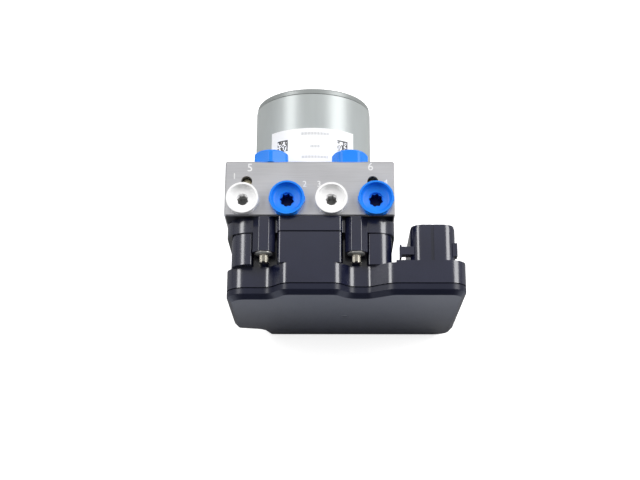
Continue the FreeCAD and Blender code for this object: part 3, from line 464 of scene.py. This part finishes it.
def spun(profile, base, direction, steps, rounds=()):
    """Closed body of revolution from corners (radius, height); rounds are (corner, width, segments)."""
    bm = bmesh.new()
    verts = [bm.verts.new((r, 0.0, h)) for r, h in profile]
    edges = [bm.edges.new((a, b)) for a, b in zip(verts, verts[1:] + verts[:1])]
    bmesh.ops.spin(bm, geom=verts + edges, cent=(0, 0, 0), axis=(0, 0, 1), angle=2 * math.pi, steps=steps,
                   use_merge=True, use_duplicate=False)
    bmesh.ops.remove_doubles(bm, verts=bm.verts, dist=MERGE)
    bmesh.ops.dissolve_degenerate(bm, dist=MERGE, edges=bm.edges)
    bmesh.ops.recalc_face_normals(bm, faces=bm.faces)
    for corner, width, segments in rounds:
        radius, height = profile[corner]
        ring = [e for e in bm.edges if all(on_circle(v.co, radius, height) for v in e.verts)]
        bmesh.ops.bevel(bm, geom=ring, offset=width, offset_type="OFFSET", segments=segments, profile=0.5,
                        affect="EDGES", material=-1, clamp_overlap=False)
    turn = Vector((0, 0, 1)).rotation_difference(direction).to_matrix().to_4x4()
    bmesh.ops.transform(bm, matrix=Matrix.Translation(base) @ turn, verts=bm.verts)
    return bm


# Settings

class BrakeModuleStage(bpy.types.PropertyGroup):
    """Camera and studio light."""
    azimuth: bpy.props.FloatProperty(name="Azimuth", description="Camera's turn about the vertical",
                                     default=math.radians(2.22), unit="ROTATION")
    elevation: bpy.props.FloatProperty(name="Elevation", description="Camera's angle above the horizon",
                                       default=math.radians(72.58), unit="ROTATION")
    roll: bpy.props.FloatProperty(name="Roll", description="Camera's tilt about its own line of sight",
                                  default=math.radians(-2.08), unit="ROTATION")
    distance: bpy.props.FloatProperty(name="Distance", description="From the camera to its target",
                                      default=0.68707, unit="LENGTH")
    target: bpy.props.FloatVectorProperty(name="Target", description="Point that the camera looks at",
                                          default=(0.00624, -0.03184, 0.108), subtype="TRANSLATION")
    lens: bpy.props.FloatProperty(name="Lens", description="Focal length of the camera in millimetres",
                                  default=66.61)
    room_dark: bpy.props.FloatProperty(name="Room in front", description="Light of the room in front",
                                       default=0.01, min=0.0)
    room_even: bpy.props.FloatProperty(name="Room above", description="Light of the room above",
                                       default=0.34, min=0.0)
    room_bright: bpy.props.FloatProperty(name="Room behind", description="Light of the room behind",
                                         default=0.86, min=0.0)
    left_power: bpy.props.FloatProperty(name="Left power", description="Power of the left softbox",
                                        default=8.4, min=0.0, subtype="POWER")
    left_angle: bpy.props.FloatProperty(name="Left angle",
                                        description="Angle of the left softbox off the zenith",
                                        default=math.radians(46.5), unit="ROTATION")
    left_width: bpy.props.FloatProperty(name="Left width", description="Width of the left softbox",
                                        default=0.38, unit="LENGTH")
    right_power: bpy.props.FloatProperty(name="Right power", description="Power of the right softbox",
                                         default=13.0, min=0.0, subtype="POWER")
    right_angle: bpy.props.FloatProperty(name="Right angle",
                                         description="Angle of the right softbox off the zenith",
                                         default=math.radians(50.0), unit="ROTATION")
    right_width: bpy.props.FloatProperty(name="Right width", description="Width of the right softbox",
                                         default=0.65, unit="LENGTH")
    floor_colour: bpy.props.FloatVectorProperty(name="Floor colour", description="Pale studio floor",
                                                default=(0.92, 0.92, 0.92), subtype="COLOR")
    floor_lift: bpy.props.FloatProperty(name="Floor lift",
                                        description="Brightness added where the camera sees the floor",
                                        default=0.72, min=0.0)
    # Painted reflection: a bluish brightness that the floor adds only in reflections, fading to nothing near
    # the object's front as a painted shadow
    floor_sheen: bpy.props.FloatProperty(name="Floor sheen", description="Brightness added in reflections",
                                         default=0.82, min=0.0)
    sheen_colour: bpy.props.FloatVectorProperty(name="Sheen colour", description="Colour of the sheen",
                                                default=(0.75, 0.82, 1.0), subtype="COLOR")
    floor_fade: bpy.props.FloatProperty(name="Floor fade", description="Reach of the fading of the sheen",
                                        default=48.0 * MM, unit="LENGTH")


class BrakeModuleBlock(bpy.types.PropertyGroup):
    """Milled block."""
    aluminium: bpy.props.FloatVectorProperty(name="Aluminium", description="Colour of the milled faces",
                                             default=(0.64, 0.64, 0.66), subtype="COLOR")
    # Painted shade and painted reflection: a near-black colour painted on the block's front face behind the
    # control unit, for the shade there and the black housing it mirrors
    joint: bpy.props.FloatVectorProperty(name="Joint face",
                                         description="Colour of the block's face behind the control unit",
                                         default=(0.04, 0.04, 0.045), subtype="COLOR")
    marks: bpy.props.FloatVectorProperty(name="Marks", description="Colour of the port numbers",
                                         default=(0.86, 0.86, 0.86), subtype="COLOR")
    mark_height: bpy.props.FloatProperty(name="Mark height", description="Height of the port numbers",
                                         default=5.0 * MM, unit="LENGTH")
    mark_relief: bpy.props.FloatProperty(name="Mark relief", description="How far the port numbers stand up",
                                         default=0.06 * MM, unit="LENGTH")


class BrakeModuleMotor(bpy.types.PropertyGroup):
    """Motor can and its label."""
    plating: bpy.props.FloatVectorProperty(name="Plating", description="Colour of the can",
                                           default=(0.45, 0.48, 0.475), subtype="COLOR")
    # Painted shade: a darker colour painted on the can's rounded rim and far end, for the shade where the rim
    # turns away from the light
    rim: bpy.props.FloatVectorProperty(name="Rim", description="Colour of the can's rim and end",
                                       default=(0.30, 0.32, 0.315), subtype="COLOR")
    paper: bpy.props.FloatVectorProperty(name="Label", description="Colour of the label's film",
                                         default=(0.94, 0.94, 0.94), subtype="COLOR")
    ink: bpy.props.FloatVectorProperty(name="Ink", description="Colour of the label's print",
                                       default=(0.05, 0.05, 0.05), subtype="COLOR")
    shield: bpy.props.FloatVectorProperty(name="End shield", description="Colour of the can's end shield",
                                          default=(0.52, 0.52, 0.52), subtype="COLOR")
    wall: bpy.props.FloatProperty(name="Wall", description="Thickness of the can's sheet",
                                  default=2.0 * MM, unit="LENGTH")
    boss_radius: bpy.props.FloatProperty(name="Boss radius", description="Radius of the can's end boss",
                                         default=9.0 * MM, unit="LENGTH")
    boss_height: bpy.props.FloatProperty(name="Boss height", description="How far the boss stands out",
                                         default=3.6 * MM, unit="LENGTH")
    rim_height: bpy.props.FloatProperty(name="Rim height", description="Height of the rim at the can's end",
                                        default=3.4 * MM, unit="LENGTH")
    rim_step: bpy.props.FloatProperty(name="Rim step", description="How far the rim is set in",
                                      default=0.5 * MM, unit="LENGTH")
    groove: bpy.props.FloatProperty(name="Groove", description="Width of the groove below the rim",
                                    default=0.6 * MM, unit="LENGTH")
    steps: bpy.props.IntProperty(name="Steps", description="Facets around the can", default=160, min=32)
    label_steps: bpy.props.IntProperty(name="Label steps", description="Facets across the label", default=56,
                                       min=8)


class BrakeModuleUnit(bpy.types.PropertyGroup):
    """Control unit."""
    housing: bpy.props.FloatVectorProperty(name="Housing", description="Colour of the moulded housing",
                                           default=(0.008, 0.010, 0.032), subtype="COLOR")
    cover: bpy.props.FloatVectorProperty(name="Cover", description="Colour of the satin cover",
                                         default=(0.014, 0.016, 0.033), subtype="COLOR")
    # Painted highlight: a lighter colour painted into the recess of the cover's gate mark, for light on its
    # lower wall
    gate_painted_highlight: bpy.props.FloatVectorProperty(name="Gate mark", description="Colour of the cover's gate mark",
                                        default=(0.16, 0.17, 0.20), subtype="COLOR")
    gate_radius: bpy.props.FloatProperty(name="Gate radius", description="Reach of the gate mark's colour",
                                         default=2.5 * MM, unit="LENGTH")
    gate_depth: bpy.props.FloatProperty(name="Gate depth", description="Depth of the gate mark's colour",
                                        default=0.6 * MM, unit="LENGTH")
    edge_round: bpy.props.FloatProperty(name="Edge rounding", description="Rounding of the moulded edges",
                                        default=0.3 * MM, unit="LENGTH")


class BrakeModulePlugs(bpy.types.PropertyGroup):
    """Port plugs."""
    blue: bpy.props.FloatVectorProperty(name="Blue", description="Colour of the large plugs",
                                        default=(0.012, 0.235, 0.90), subtype="COLOR")
    white: bpy.props.FloatVectorProperty(name="White", description="Colour of the small plugs",
                                         default=(0.95, 0.95, 0.95), subtype="COLOR")
    # Painted shade: darker colours painted inside the plugs' star sockets, for the little light that reaches
    # into them
    blue_socket_painted_shade: bpy.props.FloatVectorProperty(name="Blue socket",
                                               description="Colour inside the large plugs' sockets",
                                               default=(0.003, 0.03, 0.22), subtype="COLOR")
    white_socket_painted_shade: bpy.props.FloatVectorProperty(name="White socket",
                                                description="Colour inside the small plugs' sockets",
                                                default=(0.50, 0.50, 0.50), subtype="COLOR")
    socket_radius: bpy.props.FloatProperty(name="Socket radius",
                                           description="Reach of a socket from its axis",
                                           default=4.3 * MM, unit="LENGTH")
    edge_round: bpy.props.FloatProperty(name="Edge rounding", description="Rounding of the plugs' edges",
                                        default=0.25 * MM, unit="LENGTH")


class BrakeModuleFixings(bpy.types.PropertyGroup):
    """Screws, washers and pressed balls."""
    zinc: bpy.props.FloatVectorProperty(name="Zinc", description="Colour of the plated screws",
                                        default=(0.38, 0.36, 0.31), subtype="COLOR")
    # Painted highlight: a lighter copy of the zinc plating, painted on the washers for the light on their
    # tops
    bright: bpy.props.FloatVectorProperty(name="Bright zinc", description="Colour of the washers",
                                          default=(0.86, 0.85, 0.80), subtype="COLOR")
    steel: bpy.props.FloatVectorProperty(name="Steel", description="Colour of the ground steel",
                                         default=(0.42, 0.38, 0.26), subtype="COLOR")
    edge_round: bpy.props.FloatProperty(name="Edge rounding", description="Rounding of the screws' edges",
                                        default=0.15 * MM, unit="LENGTH")


# Operators

class BrakeModuleAddStage(bpy.types.Operator):
    """Adds the floor, the lights and the camera"""
    bl_idname = "brake_module.add_stage"
    bl_label = "Add stage"

    def execute(self, context):
        settings = context.scene.brake_module_stage
        self.add_floor(settings)
        self.add_lights(settings)
        self.add_camera(context, settings)
        context.scene.view_settings.view_transform = "Standard"
        return {"FINISHED"}

    def add_floor(self, settings):
        bm = bmesh.new()
        bmesh.ops.create_grid(bm, x_segments=1, y_segments=1, size=FLOOR_HALF)
        data = bpy.data.meshes.new("studio_floor")
        bm.to_mesh(data)
        bm.free()
        floor = bpy.data.objects.new("studio_floor", data)
        bpy.context.scene.collection.objects.link(floor)
        material, tree, shader, place = new_finish("Studio floor")
        grain = use_group(tree, grain_group(), {"Vector": place, "Scale": 3.0, "Detail": 1.0})
        shade = use_group(tree, tone_group(), {"Dark": rgba(settings.floor_colour, 0.99),
                                               "Light": rgba(settings.floor_colour), "Mask": grain})
        path = tree.nodes.new("ShaderNodeLightPath")
        mirrored = math_node(tree, "MAXIMUM", path.outputs["Is Glossy Ray"],
                             path.outputs["Is Transmission Ray"])
        # Painted reflection: reflections show the floor darker than the camera does
        shade = use_group(tree, tone_group(), {"Dark": shade, "Mask": mirrored,
                                               "Light": rgba(settings.floor_colour, FLOOR_IN_REFLECTIONS)})
        tree.links.new(shade, shader.inputs["Base Color"])
        shader.inputs["Roughness"].default_value = 0.8
        shader.inputs["Specular IOR Level"].default_value = 0.1
        # Painted reflection: the floor glows bluish only for reflected rays, and the glow fades out near the
        # object's front as a painted shadow in the reflections
        glow = use_group(tree, tone_group(), {"Dark": WHITE, "Light": rgba(settings.sheen_colour),
                                              "Mask": mirrored})
        tree.links.new(glow, shader.inputs["Emission Color"])
        split = tree.nodes.new("ShaderNodeSeparateXYZ")
        tree.links.new(place, split.inputs[0])
        ahead = math_node(tree, "SUBTRACT", cad_box[0][1], split.outputs["Y"])
        clear = smooth_ramp(tree, ahead, 0.0, settings.floor_fade, settings.floor_sheen)
        sheen = math_node(tree, "MULTIPLY", mirrored, clear)
        lift = math_node(tree, "MULTIPLY_ADD", path.outputs["Is Camera Ray"], settings.floor_lift, sheen)
        tree.links.new(lift, shader.inputs["Emission Strength"])
        data.materials.append(material)

    def add_lights(self, settings):
        world = bpy.data.worlds.new("Studio room")
        world.use_nodes = True
        tree = world.node_tree
        split = tree.nodes.new("ShaderNodeSeparateXYZ")
        tree.links.new(tree.nodes.new("ShaderNodeTexCoord").outputs["Generated"], split.inputs[0])
        level = settings.room_dark
        for (low, high), rise in ((ROOM_FRONT, settings.room_even - settings.room_dark),
                                  (ROOM_RISE, settings.room_bright - settings.room_even),
                                  (ROOM_FALL, settings.room_even - settings.room_bright)):
            level = math_node(tree, "ADD", smooth_ramp(tree, split.outputs["Y"], low, high, rise), level)
        path = tree.nodes.new("ShaderNodeLightPath")
        level = math_node(tree, "MAXIMUM", level, path.outputs["Is Camera Ray"])
        background = tree.nodes["Background"]
        background.inputs["Color"].default_value = WHITE
        tree.links.new(level, background.inputs["Strength"])
        bpy.context.scene.world = world
        back = math.pi / 2 - settings.elevation
        for name, side, width, power in (
                ("left_softbox", -settings.left_angle, settings.left_width, settings.left_power),
                ("right_softbox", settings.right_angle, settings.right_width, settings.right_power)):
            lamp = bpy.data.lights.new(name, "AREA")
            lamp.shape = "RECTANGLE"
            lamp.size, lamp.size_y = width, LAMP_LENGTH
            lamp.energy = power
            thing = bpy.data.objects.new(name, lamp)
            bpy.context.scene.collection.objects.link(thing)
            turn = Matrix.Rotation(side, 4, "Y") @ Matrix.Rotation(-back, 4, "X")
            away = Matrix.Translation((0, 0, LAMP_DISTANCE))
            thing.matrix_world = Matrix.Translation(LAMP_CENTRE) @ turn @ away

    def add_camera(self, context, settings):
        turn, rise, tilt = settings.azimuth, settings.elevation, settings.roll
        ahead = Vector((-math.sin(turn) * math.cos(rise), math.cos(turn) * math.cos(rise), -math.sin(rise)))
        right = Vector((math.cos(turn), math.sin(turn), 0.0))
        above = right.cross(ahead)
        side = right * math.cos(tilt) + above * math.sin(tilt)
        top = above * math.cos(tilt) - right * math.sin(tilt)
        eye = Vector(settings.target) - ahead * settings.distance
        lens = bpy.data.cameras.new("photo_camera")
        lens.sensor_fit = "HORIZONTAL"
        lens.sensor_width = SENSOR_WIDTH
        lens.lens = settings.lens
        camera = bpy.data.objects.new("photo_camera", lens)
        basis = Matrix((side, top, -ahead)).transposed().to_4x4()
        camera.matrix_world = Matrix.Translation(eye) @ basis
        context.scene.collection.objects.link(camera)
        context.scene.camera = camera


class BrakeModuleDressBlock(bpy.types.Operator):
    """Dresses the milled block and adds its port numbers"""
    bl_idname = "brake_module.dress_block"
    bl_label = "Dress block"

    def execute(self, context):
        settings = context.scene.brake_module_block
        milled = finish("Milled aluminium", settings.aluminium, (0.30, 0.42), metal=0.85, tone=0.07,
                        stretch=(0.04, 1.0, 0.6), scale=1500.0, bump=0.000004, cloud=45.0,
                        painted_light=settings.joint)
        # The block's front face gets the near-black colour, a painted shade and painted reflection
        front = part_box("hydraulic_block")[0].y + 0.01 * MM
        softened("hydraulic_block", milled, ROOT, degrees=28.0,
                 painted_light=lambda point, normal: point.y < front and normal.y < -0.9)
        marks = finish("Stamped marks", settings.marks, (0.5, 0.65), metal=0.2, tone=0.04, scale=900.0)
        self.add_numbers(settings, marks)
        return {"FINISHED"}

    def add_numbers(self, settings, material):
        """Port numbers, set flat on the port face."""
        top = port_face()
        bm = bmesh.new()
        for text, x, y, share in PORT_NUMBERS:
            curve = bpy.data.curves.new("number", "FONT")
            curve.body = text
            curve.align_x = "CENTER"
            curve.align_y = "CENTER"
            curve.size = settings.mark_height * share * FONT_PER_HEIGHT
            curve.extrude = settings.mark_relief
            curve.resolution_u = 4
            word = bpy.data.objects.new("number", curve)
            bpy.context.scene.collection.objects.link(word)
            bpy.context.view_layer.update()
            graph = bpy.context.evaluated_depsgraph_get()
            data = bpy.data.meshes.new_from_object(word.evaluated_get(graph))
            bpy.data.objects.remove(word)
            data.transform(Matrix.Translation((x * MM, y * MM, top)))
            bm.from_mesh(data)
            bpy.data.meshes.remove(data)
        bmesh.ops.remove_doubles(bm, verts=bm.verts, dist=MERGE)
        bmesh.ops.recalc_face_normals(bm, faces=bm.faces)
        add_piece("port_numbers", to_mesh(bm, "port_numbers"), material, ROOT)


class BrakeModuleDressMotor(bpy.types.Operator):
    """Builds the motor's can and its label"""
    bl_idname = "brake_module.dress_motor"
    bl_label = "Dress motor"

    def execute(self, context):
        settings = context.scene.brake_module_motor
        plating = finish("Plated can", settings.plating, (0.33, 0.39), metal=0.22, tone=0.04,
                         stretch=(1.0, 0.15, 1.0), scale=350.0, bump=0.000001, cloud=25.0, painted_light=settings.rim)
        self.add_can(settings, plating)
        self.add_label(settings)
        steel = finish("Shield steel", settings.shield, (0.3, 0.45), metal=1.0, tone=0.08, scale=500.0,
                       bump=0.000004)
        softened("motor_end_shield", steel, ROOT)
        return {"FINISHED"}

    def add_can(self, settings, material):
        low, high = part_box("motor_can")
        centre, radius = can_axis()
        length = high.y - low.y
        shoulder = length - settings.boss_height
        rim_foot = shoulder - settings.rim_height
        groove_foot = rim_foot - settings.groove
        rim = radius - settings.rim_step
        groove = radius - 2 * settings.rim_step
        inner = radius - settings.wall
        boss, boss_inner = settings.boss_radius, settings.boss_radius - settings.wall
        inner_shoulder, inner_end = shoulder - settings.wall, length - settings.wall
        profile = [(radius, 0.0), (radius, groove_foot), (groove, groove_foot), (groove, rim_foot),
                   (rim, rim_foot), (rim, shoulder), (boss, shoulder), (boss, length), (0.0, length),
                   (0.0, inner_end), (boss_inner, inner_end), (boss_inner, inner_shoulder),
                   (inner, inner_shoulder), (inner, 0.0)]
        rounds = [(1, 0.15 * MM, 2), (5, 1.2 * MM, 6), (6, 1.6 * MM, 6), (7, 0.9 * MM, 4), (0, 0.2 * MM, 2)]
        bm = spun(profile, Vector((centre.x, low.y, centre.z)), Vector((0, 1, 0)), settings.steps, rounds)
        # The rim and the far end get the darker rim colour as painted shade
        rim_start = low.y + rim_foot - settings.groove / 2
        mark_painted_light(bm, lambda point, normal: point.y > rim_start)
        piece = add_piece("motor_can_dressed", to_mesh(bm, "motor_can_dressed", 40.0), material,
                          ROOT, ("motor_can",))
        weighted(piece)

    def add_label(self, settings):
        low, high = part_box("motor_label")
        centre, radius = can_axis()
        outer = high.z - centre.z
        half = math.asin(min(1.0, (high.x - low.x) / 2 / outer))
        bm = bmesh.new()
        start = Matrix.Rotation(-half, 4, "Y")
        corners = [(radius, low.y), (outer, low.y), (outer, high.y), (radius, high.y)]
        verts = [bm.verts.new(start @ Vector((0, y, r))) for r, y in corners]
        face = bm.faces.new(verts)
        bmesh.ops.spin(bm, geom=[face], cent=(0, 0, 0), axis=(0, 1, 0), angle=2 * half,
                       steps=settings.label_steps, use_duplicate=False)
        bmesh.ops.remove_doubles(bm, verts=bm.verts, dist=MERGE)
        ends = [e for e in bm.edges if len(e.link_faces) == 1]
        bmesh.ops.holes_fill(bm, edges=ends, sides=4)
        bmesh.ops.recalc_face_normals(bm, faces=bm.faces)
        chart = bm.loops.layers.uv.new("LabelChart")
        for face in bm.faces:
            for loop in face.loops:
                angle = math.atan2(loop.vert.co.x, loop.vert.co.z)
                across = 0.5 + angle / (2 * half)
                loop[chart].uv = (across, (loop.vert.co.y - low.y) / (high.y - low.y))
        bmesh.ops.translate(bm, vec=Vector((centre.x, 0, centre.z)), verts=bm.verts)
        material = label_finish(settings.paper, settings.ink)
        add_piece("motor_label_dressed", to_mesh(bm, "motor_label_dressed"), material, ROOT,
                  ("motor_label",))


class BrakeModuleDressUnit(bpy.types.Operator):
    """Dresses the control unit's housing, cover and connector"""
    bl_idname = "brake_module.dress_unit"
    bl_label = "Dress control unit"

    def execute(self, context):
        settings = context.scene.brake_module_unit
        housing = finish("Moulded housing", settings.housing, (0.17, 0.23), tone=0.15, scale=1800.0,
                         bump=0.0000005, cloud=70.0, level=1.0)
        softened("ecu_housing", housing, ROOT, width=settings.edge_round, degrees=30.0)
        cover = finish("Satin cover", settings.cover, (0.30, 0.36), tone=0.10, scale=2200.0, bump=0.000002,
                       cloud=40.0, level=0.32, painted_light=settings.gate_painted_highlight)
        face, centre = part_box("ecu_cover")[0].y, middle("ecu_cover")

        # Faces of the gate mark's recess, which get the painted highlight
        def in_gate(point, normal):
            away = math.hypot(point.x - centre.x, point.z - centre.z)
            return 0.02 * MM < point.y - face < settings.gate_depth and away < settings.gate_radius

        softened("ecu_cover", cover, ROOT, width=settings.edge_round, degrees=30.0,
                 painted_light=in_gate)
        return {"FINISHED"}


class BrakeModuleDressPlugs(bpy.types.Operator):
    """Dresses the blue and white port plugs"""
    bl_idname = "brake_module.dress_plugs"
    bl_label = "Dress port plugs"

    def execute(self, context):
        settings = context.scene.brake_module_plugs
        blue = finish("Blue moulding", settings.blue, (0.32, 0.42), tone=0.04, scale=1200.0, bump=0.000002,
                      cloud=90.0, level=0.3, painted_light=settings.blue_socket_painted_shade)
        white = finish("White moulding", settings.white, (0.34, 0.45), tone=0.02, scale=1200.0, bump=0.000002,
                       cloud=90.0, painted_light=settings.white_socket_painted_shade)
        for nodes, axis, (low, high), material, slot_name in (
                (("wheel_plug_1", "wheel_plug_3"), "z", WHITE_SOCKET, white, "white_plastic"),
                (("wheel_plug_2", "wheel_plug_4"), "z", BLUE_SOCKET, blue, "blue_plastic"),
                (("master_plug_left", "master_plug_right"), "y", MASTER_SOCKET, blue, "blue_plastic")):
            for node in nodes:
                softened(node, material, node, width=settings.edge_round, degrees=35.0,
                         painted_light=self.socket(node, axis, low * MM, high * MM, settings.socket_radius))
        return {"FINISHED"}

    def socket(self, node, axis, low, high, radius):
        """Test for the walls and the floor of a plug's star socket, by heights above the shank's end; these
        faces get painted shade.
        """
        centre = middle(node)
        bottom = getattr(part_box(node)[0], axis)

        def inside(point, normal):
            away = point - centre
            setattr(away, axis, 0.0)
            return low < getattr(point, axis) - bottom < high and away.length < radius
        return inside


class BrakeModuleDressFixings(bpy.types.Operator):
    """Dresses the screws, washers and pressed balls"""
    bl_idname = "brake_module.dress_fixings"
    bl_label = "Dress fixings"

    def execute(self, context):
        settings = context.scene.brake_module_fixings
        zinc = finish("Zinc plating", settings.zinc, (0.22, 0.38), metal=1.0, tone=0.12, scale=900.0,
                      bump=0.000004)
        steel = finish("Dark steel", settings.steel, (0.25, 0.4), metal=1.0, tone=0.2, scale=700.0,
                       bump=0.000004)
        # The washers' lighter zinc is a painted highlight
        bright = finish("Bright zinc", settings.bright, (0.3, 0.42), metal=0.7, tone=0.1, scale=900.0,
                        bump=0.000003)
        for node, material in (("ecu_screws", zinc), ("motor_screws", zinc), ("screw_washers", bright)):
            softened(node, material, ROOT, width=settings.edge_round, degrees=30.0)
        softened("channel_balls", steel, ROOT)
        return {"FINISHED"}


class BrakeModuleDressInside(bpy.types.Operator):
    """Gives the inner pieces their finishes"""
    bl_idname = "brake_module.dress_inside"
    bl_label = "Dress inner pieces"

    table = (
        ("Ground steel", (0.56, 0.56, 0.56), (0.22, 0.36), 1.0,
         ("front_bearing_outer", "front_bearing_inner", "rotor_shaft", "eccentric_ring", "pump_sleeves",
          "pump_piston_left", "pump_piston_right", "accumulator_caps", "pressure_sensor",
          "wheel_valve_bodies", "circuit_valve_bodies", "motor_terminals")),
        ("Spring wire", (0.42, 0.41, 0.40), (0.25, 0.4), 1.0, ("pump_springs",)),
        ("Turned aluminium", (0.66, 0.66, 0.68), (0.28, 0.4), 1.0,
         ("pump_caps", "accumulator_piston_left", "accumulator_piston_right")),
        ("Sheet stack", (0.33, 0.32, 0.31), (0.4, 0.55), 1.0, ("rotor_core",)),
        ("Wound copper", (0.62, 0.26, 0.13), (0.3, 0.45), 1.0, ("rotor_windings", "commutator")),
        ("Coil cups", (0.45, 0.46, 0.47), (0.35, 0.5), 1.0, ("solenoid_coils",)),
        ("Sintered bronze", (0.55, 0.37, 0.18), (0.4, 0.55), 1.0, ("rear_bush", "connector_pins")),
        ("Pressed magnet", (0.07, 0.07, 0.075), (0.5, 0.65), 0.0, ("motor_magnets",)),
        ("Brush carbon", (0.03, 0.03, 0.03), (0.5, 0.7), 0.0, ("motor_brushes",)),
        ("Black moulding", (0.02, 0.02, 0.022), (0.4, 0.55), 0.0, ("brush_holder", "board_components")),
        ("Black rubber", (0.018, 0.018, 0.018), (0.55, 0.7), 0.0, ("housing_gasket",)),
        ("Green lacquer", (0.015, 0.12, 0.05), (0.3, 0.42), 0.0, ("circuit_board",)),
    )

    def execute(self, context):
        steel = None
        for name, colour, rough, metal, nodes in self.table:
            material = finish(name, colour, rough, metal=metal, tone=0.1, scale=700.0, bump=0.000003)
            steel = steel or material
            for node in nodes:
                self.repaint(node, material)
            if name == "Spring wire":
                self.add_springs(material)
        for node in sorted(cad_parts):
            if "armature" in node:
                self.repaint(node, steel)
        return {"FINISHED"}

    def add_springs(self, material):
        """Accumulator springs, as softened copies of their CAD nodes, each with a mesh of its own."""
        for side in ("left", "right"):
            node = "accumulator_spring_" + side
            spring = softened(node, material, ROOT)
            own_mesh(spring)

    def repaint(self, node, material):
        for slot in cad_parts[node].material_slots:
            slot.material = material


class BrakeModulePanel(bpy.types.Panel):
    """Lists the steps in the sidebar"""
    bl_idname = "VIEW3D_PT_brake_module"
    bl_label = "Brake Module"
    bl_space_type = "VIEW_3D"
    bl_region_type = "UI"
    bl_category = "Brake Module"

    def draw(self, context):
        for operator in OPERATORS:
            self.layout.operator(operator.bl_idname)


GROUPS = (
    ("brake_module_stage", BrakeModuleStage),
    ("brake_module_block", BrakeModuleBlock),
    ("brake_module_motor", BrakeModuleMotor),
    ("brake_module_unit", BrakeModuleUnit),
    ("brake_module_plugs", BrakeModulePlugs),
    ("brake_module_fixings", BrakeModuleFixings),
)
OPERATORS = (
    BrakeModuleAddStage,
    BrakeModuleDressBlock,
    BrakeModuleDressMotor,
    BrakeModuleDressUnit,
    BrakeModuleDressPlugs,
    BrakeModuleDressFixings,
    BrakeModuleDressInside,
)


def register():
    for name, group in GROUPS:
        bpy.utils.register_class(group)
        setattr(bpy.types.Scene, name, bpy.props.PointerProperty(type=group))
    for operator in OPERATORS:
        bpy.utils.register_class(operator)
    bpy.utils.register_class(BrakeModulePanel)


def unregister():
    bpy.utils.unregister_class(BrakeModulePanel)
    for operator in reversed(OPERATORS):
        bpy.utils.unregister_class(operator)
    for name, group in reversed(GROUPS):
        delattr(bpy.types.Scene, name)
        bpy.utils.unregister_class(group)


def main():
    register()
    bpy.ops.brake_module.add_stage()
    bpy.ops.brake_module.dress_block()
    bpy.ops.brake_module.dress_motor()
    bpy.ops.brake_module.dress_unit()
    bpy.ops.brake_module.dress_plugs()
    bpy.ops.brake_module.dress_fixings()
    bpy.ops.brake_module.dress_inside()


if __name__ == "__main__":
    main()
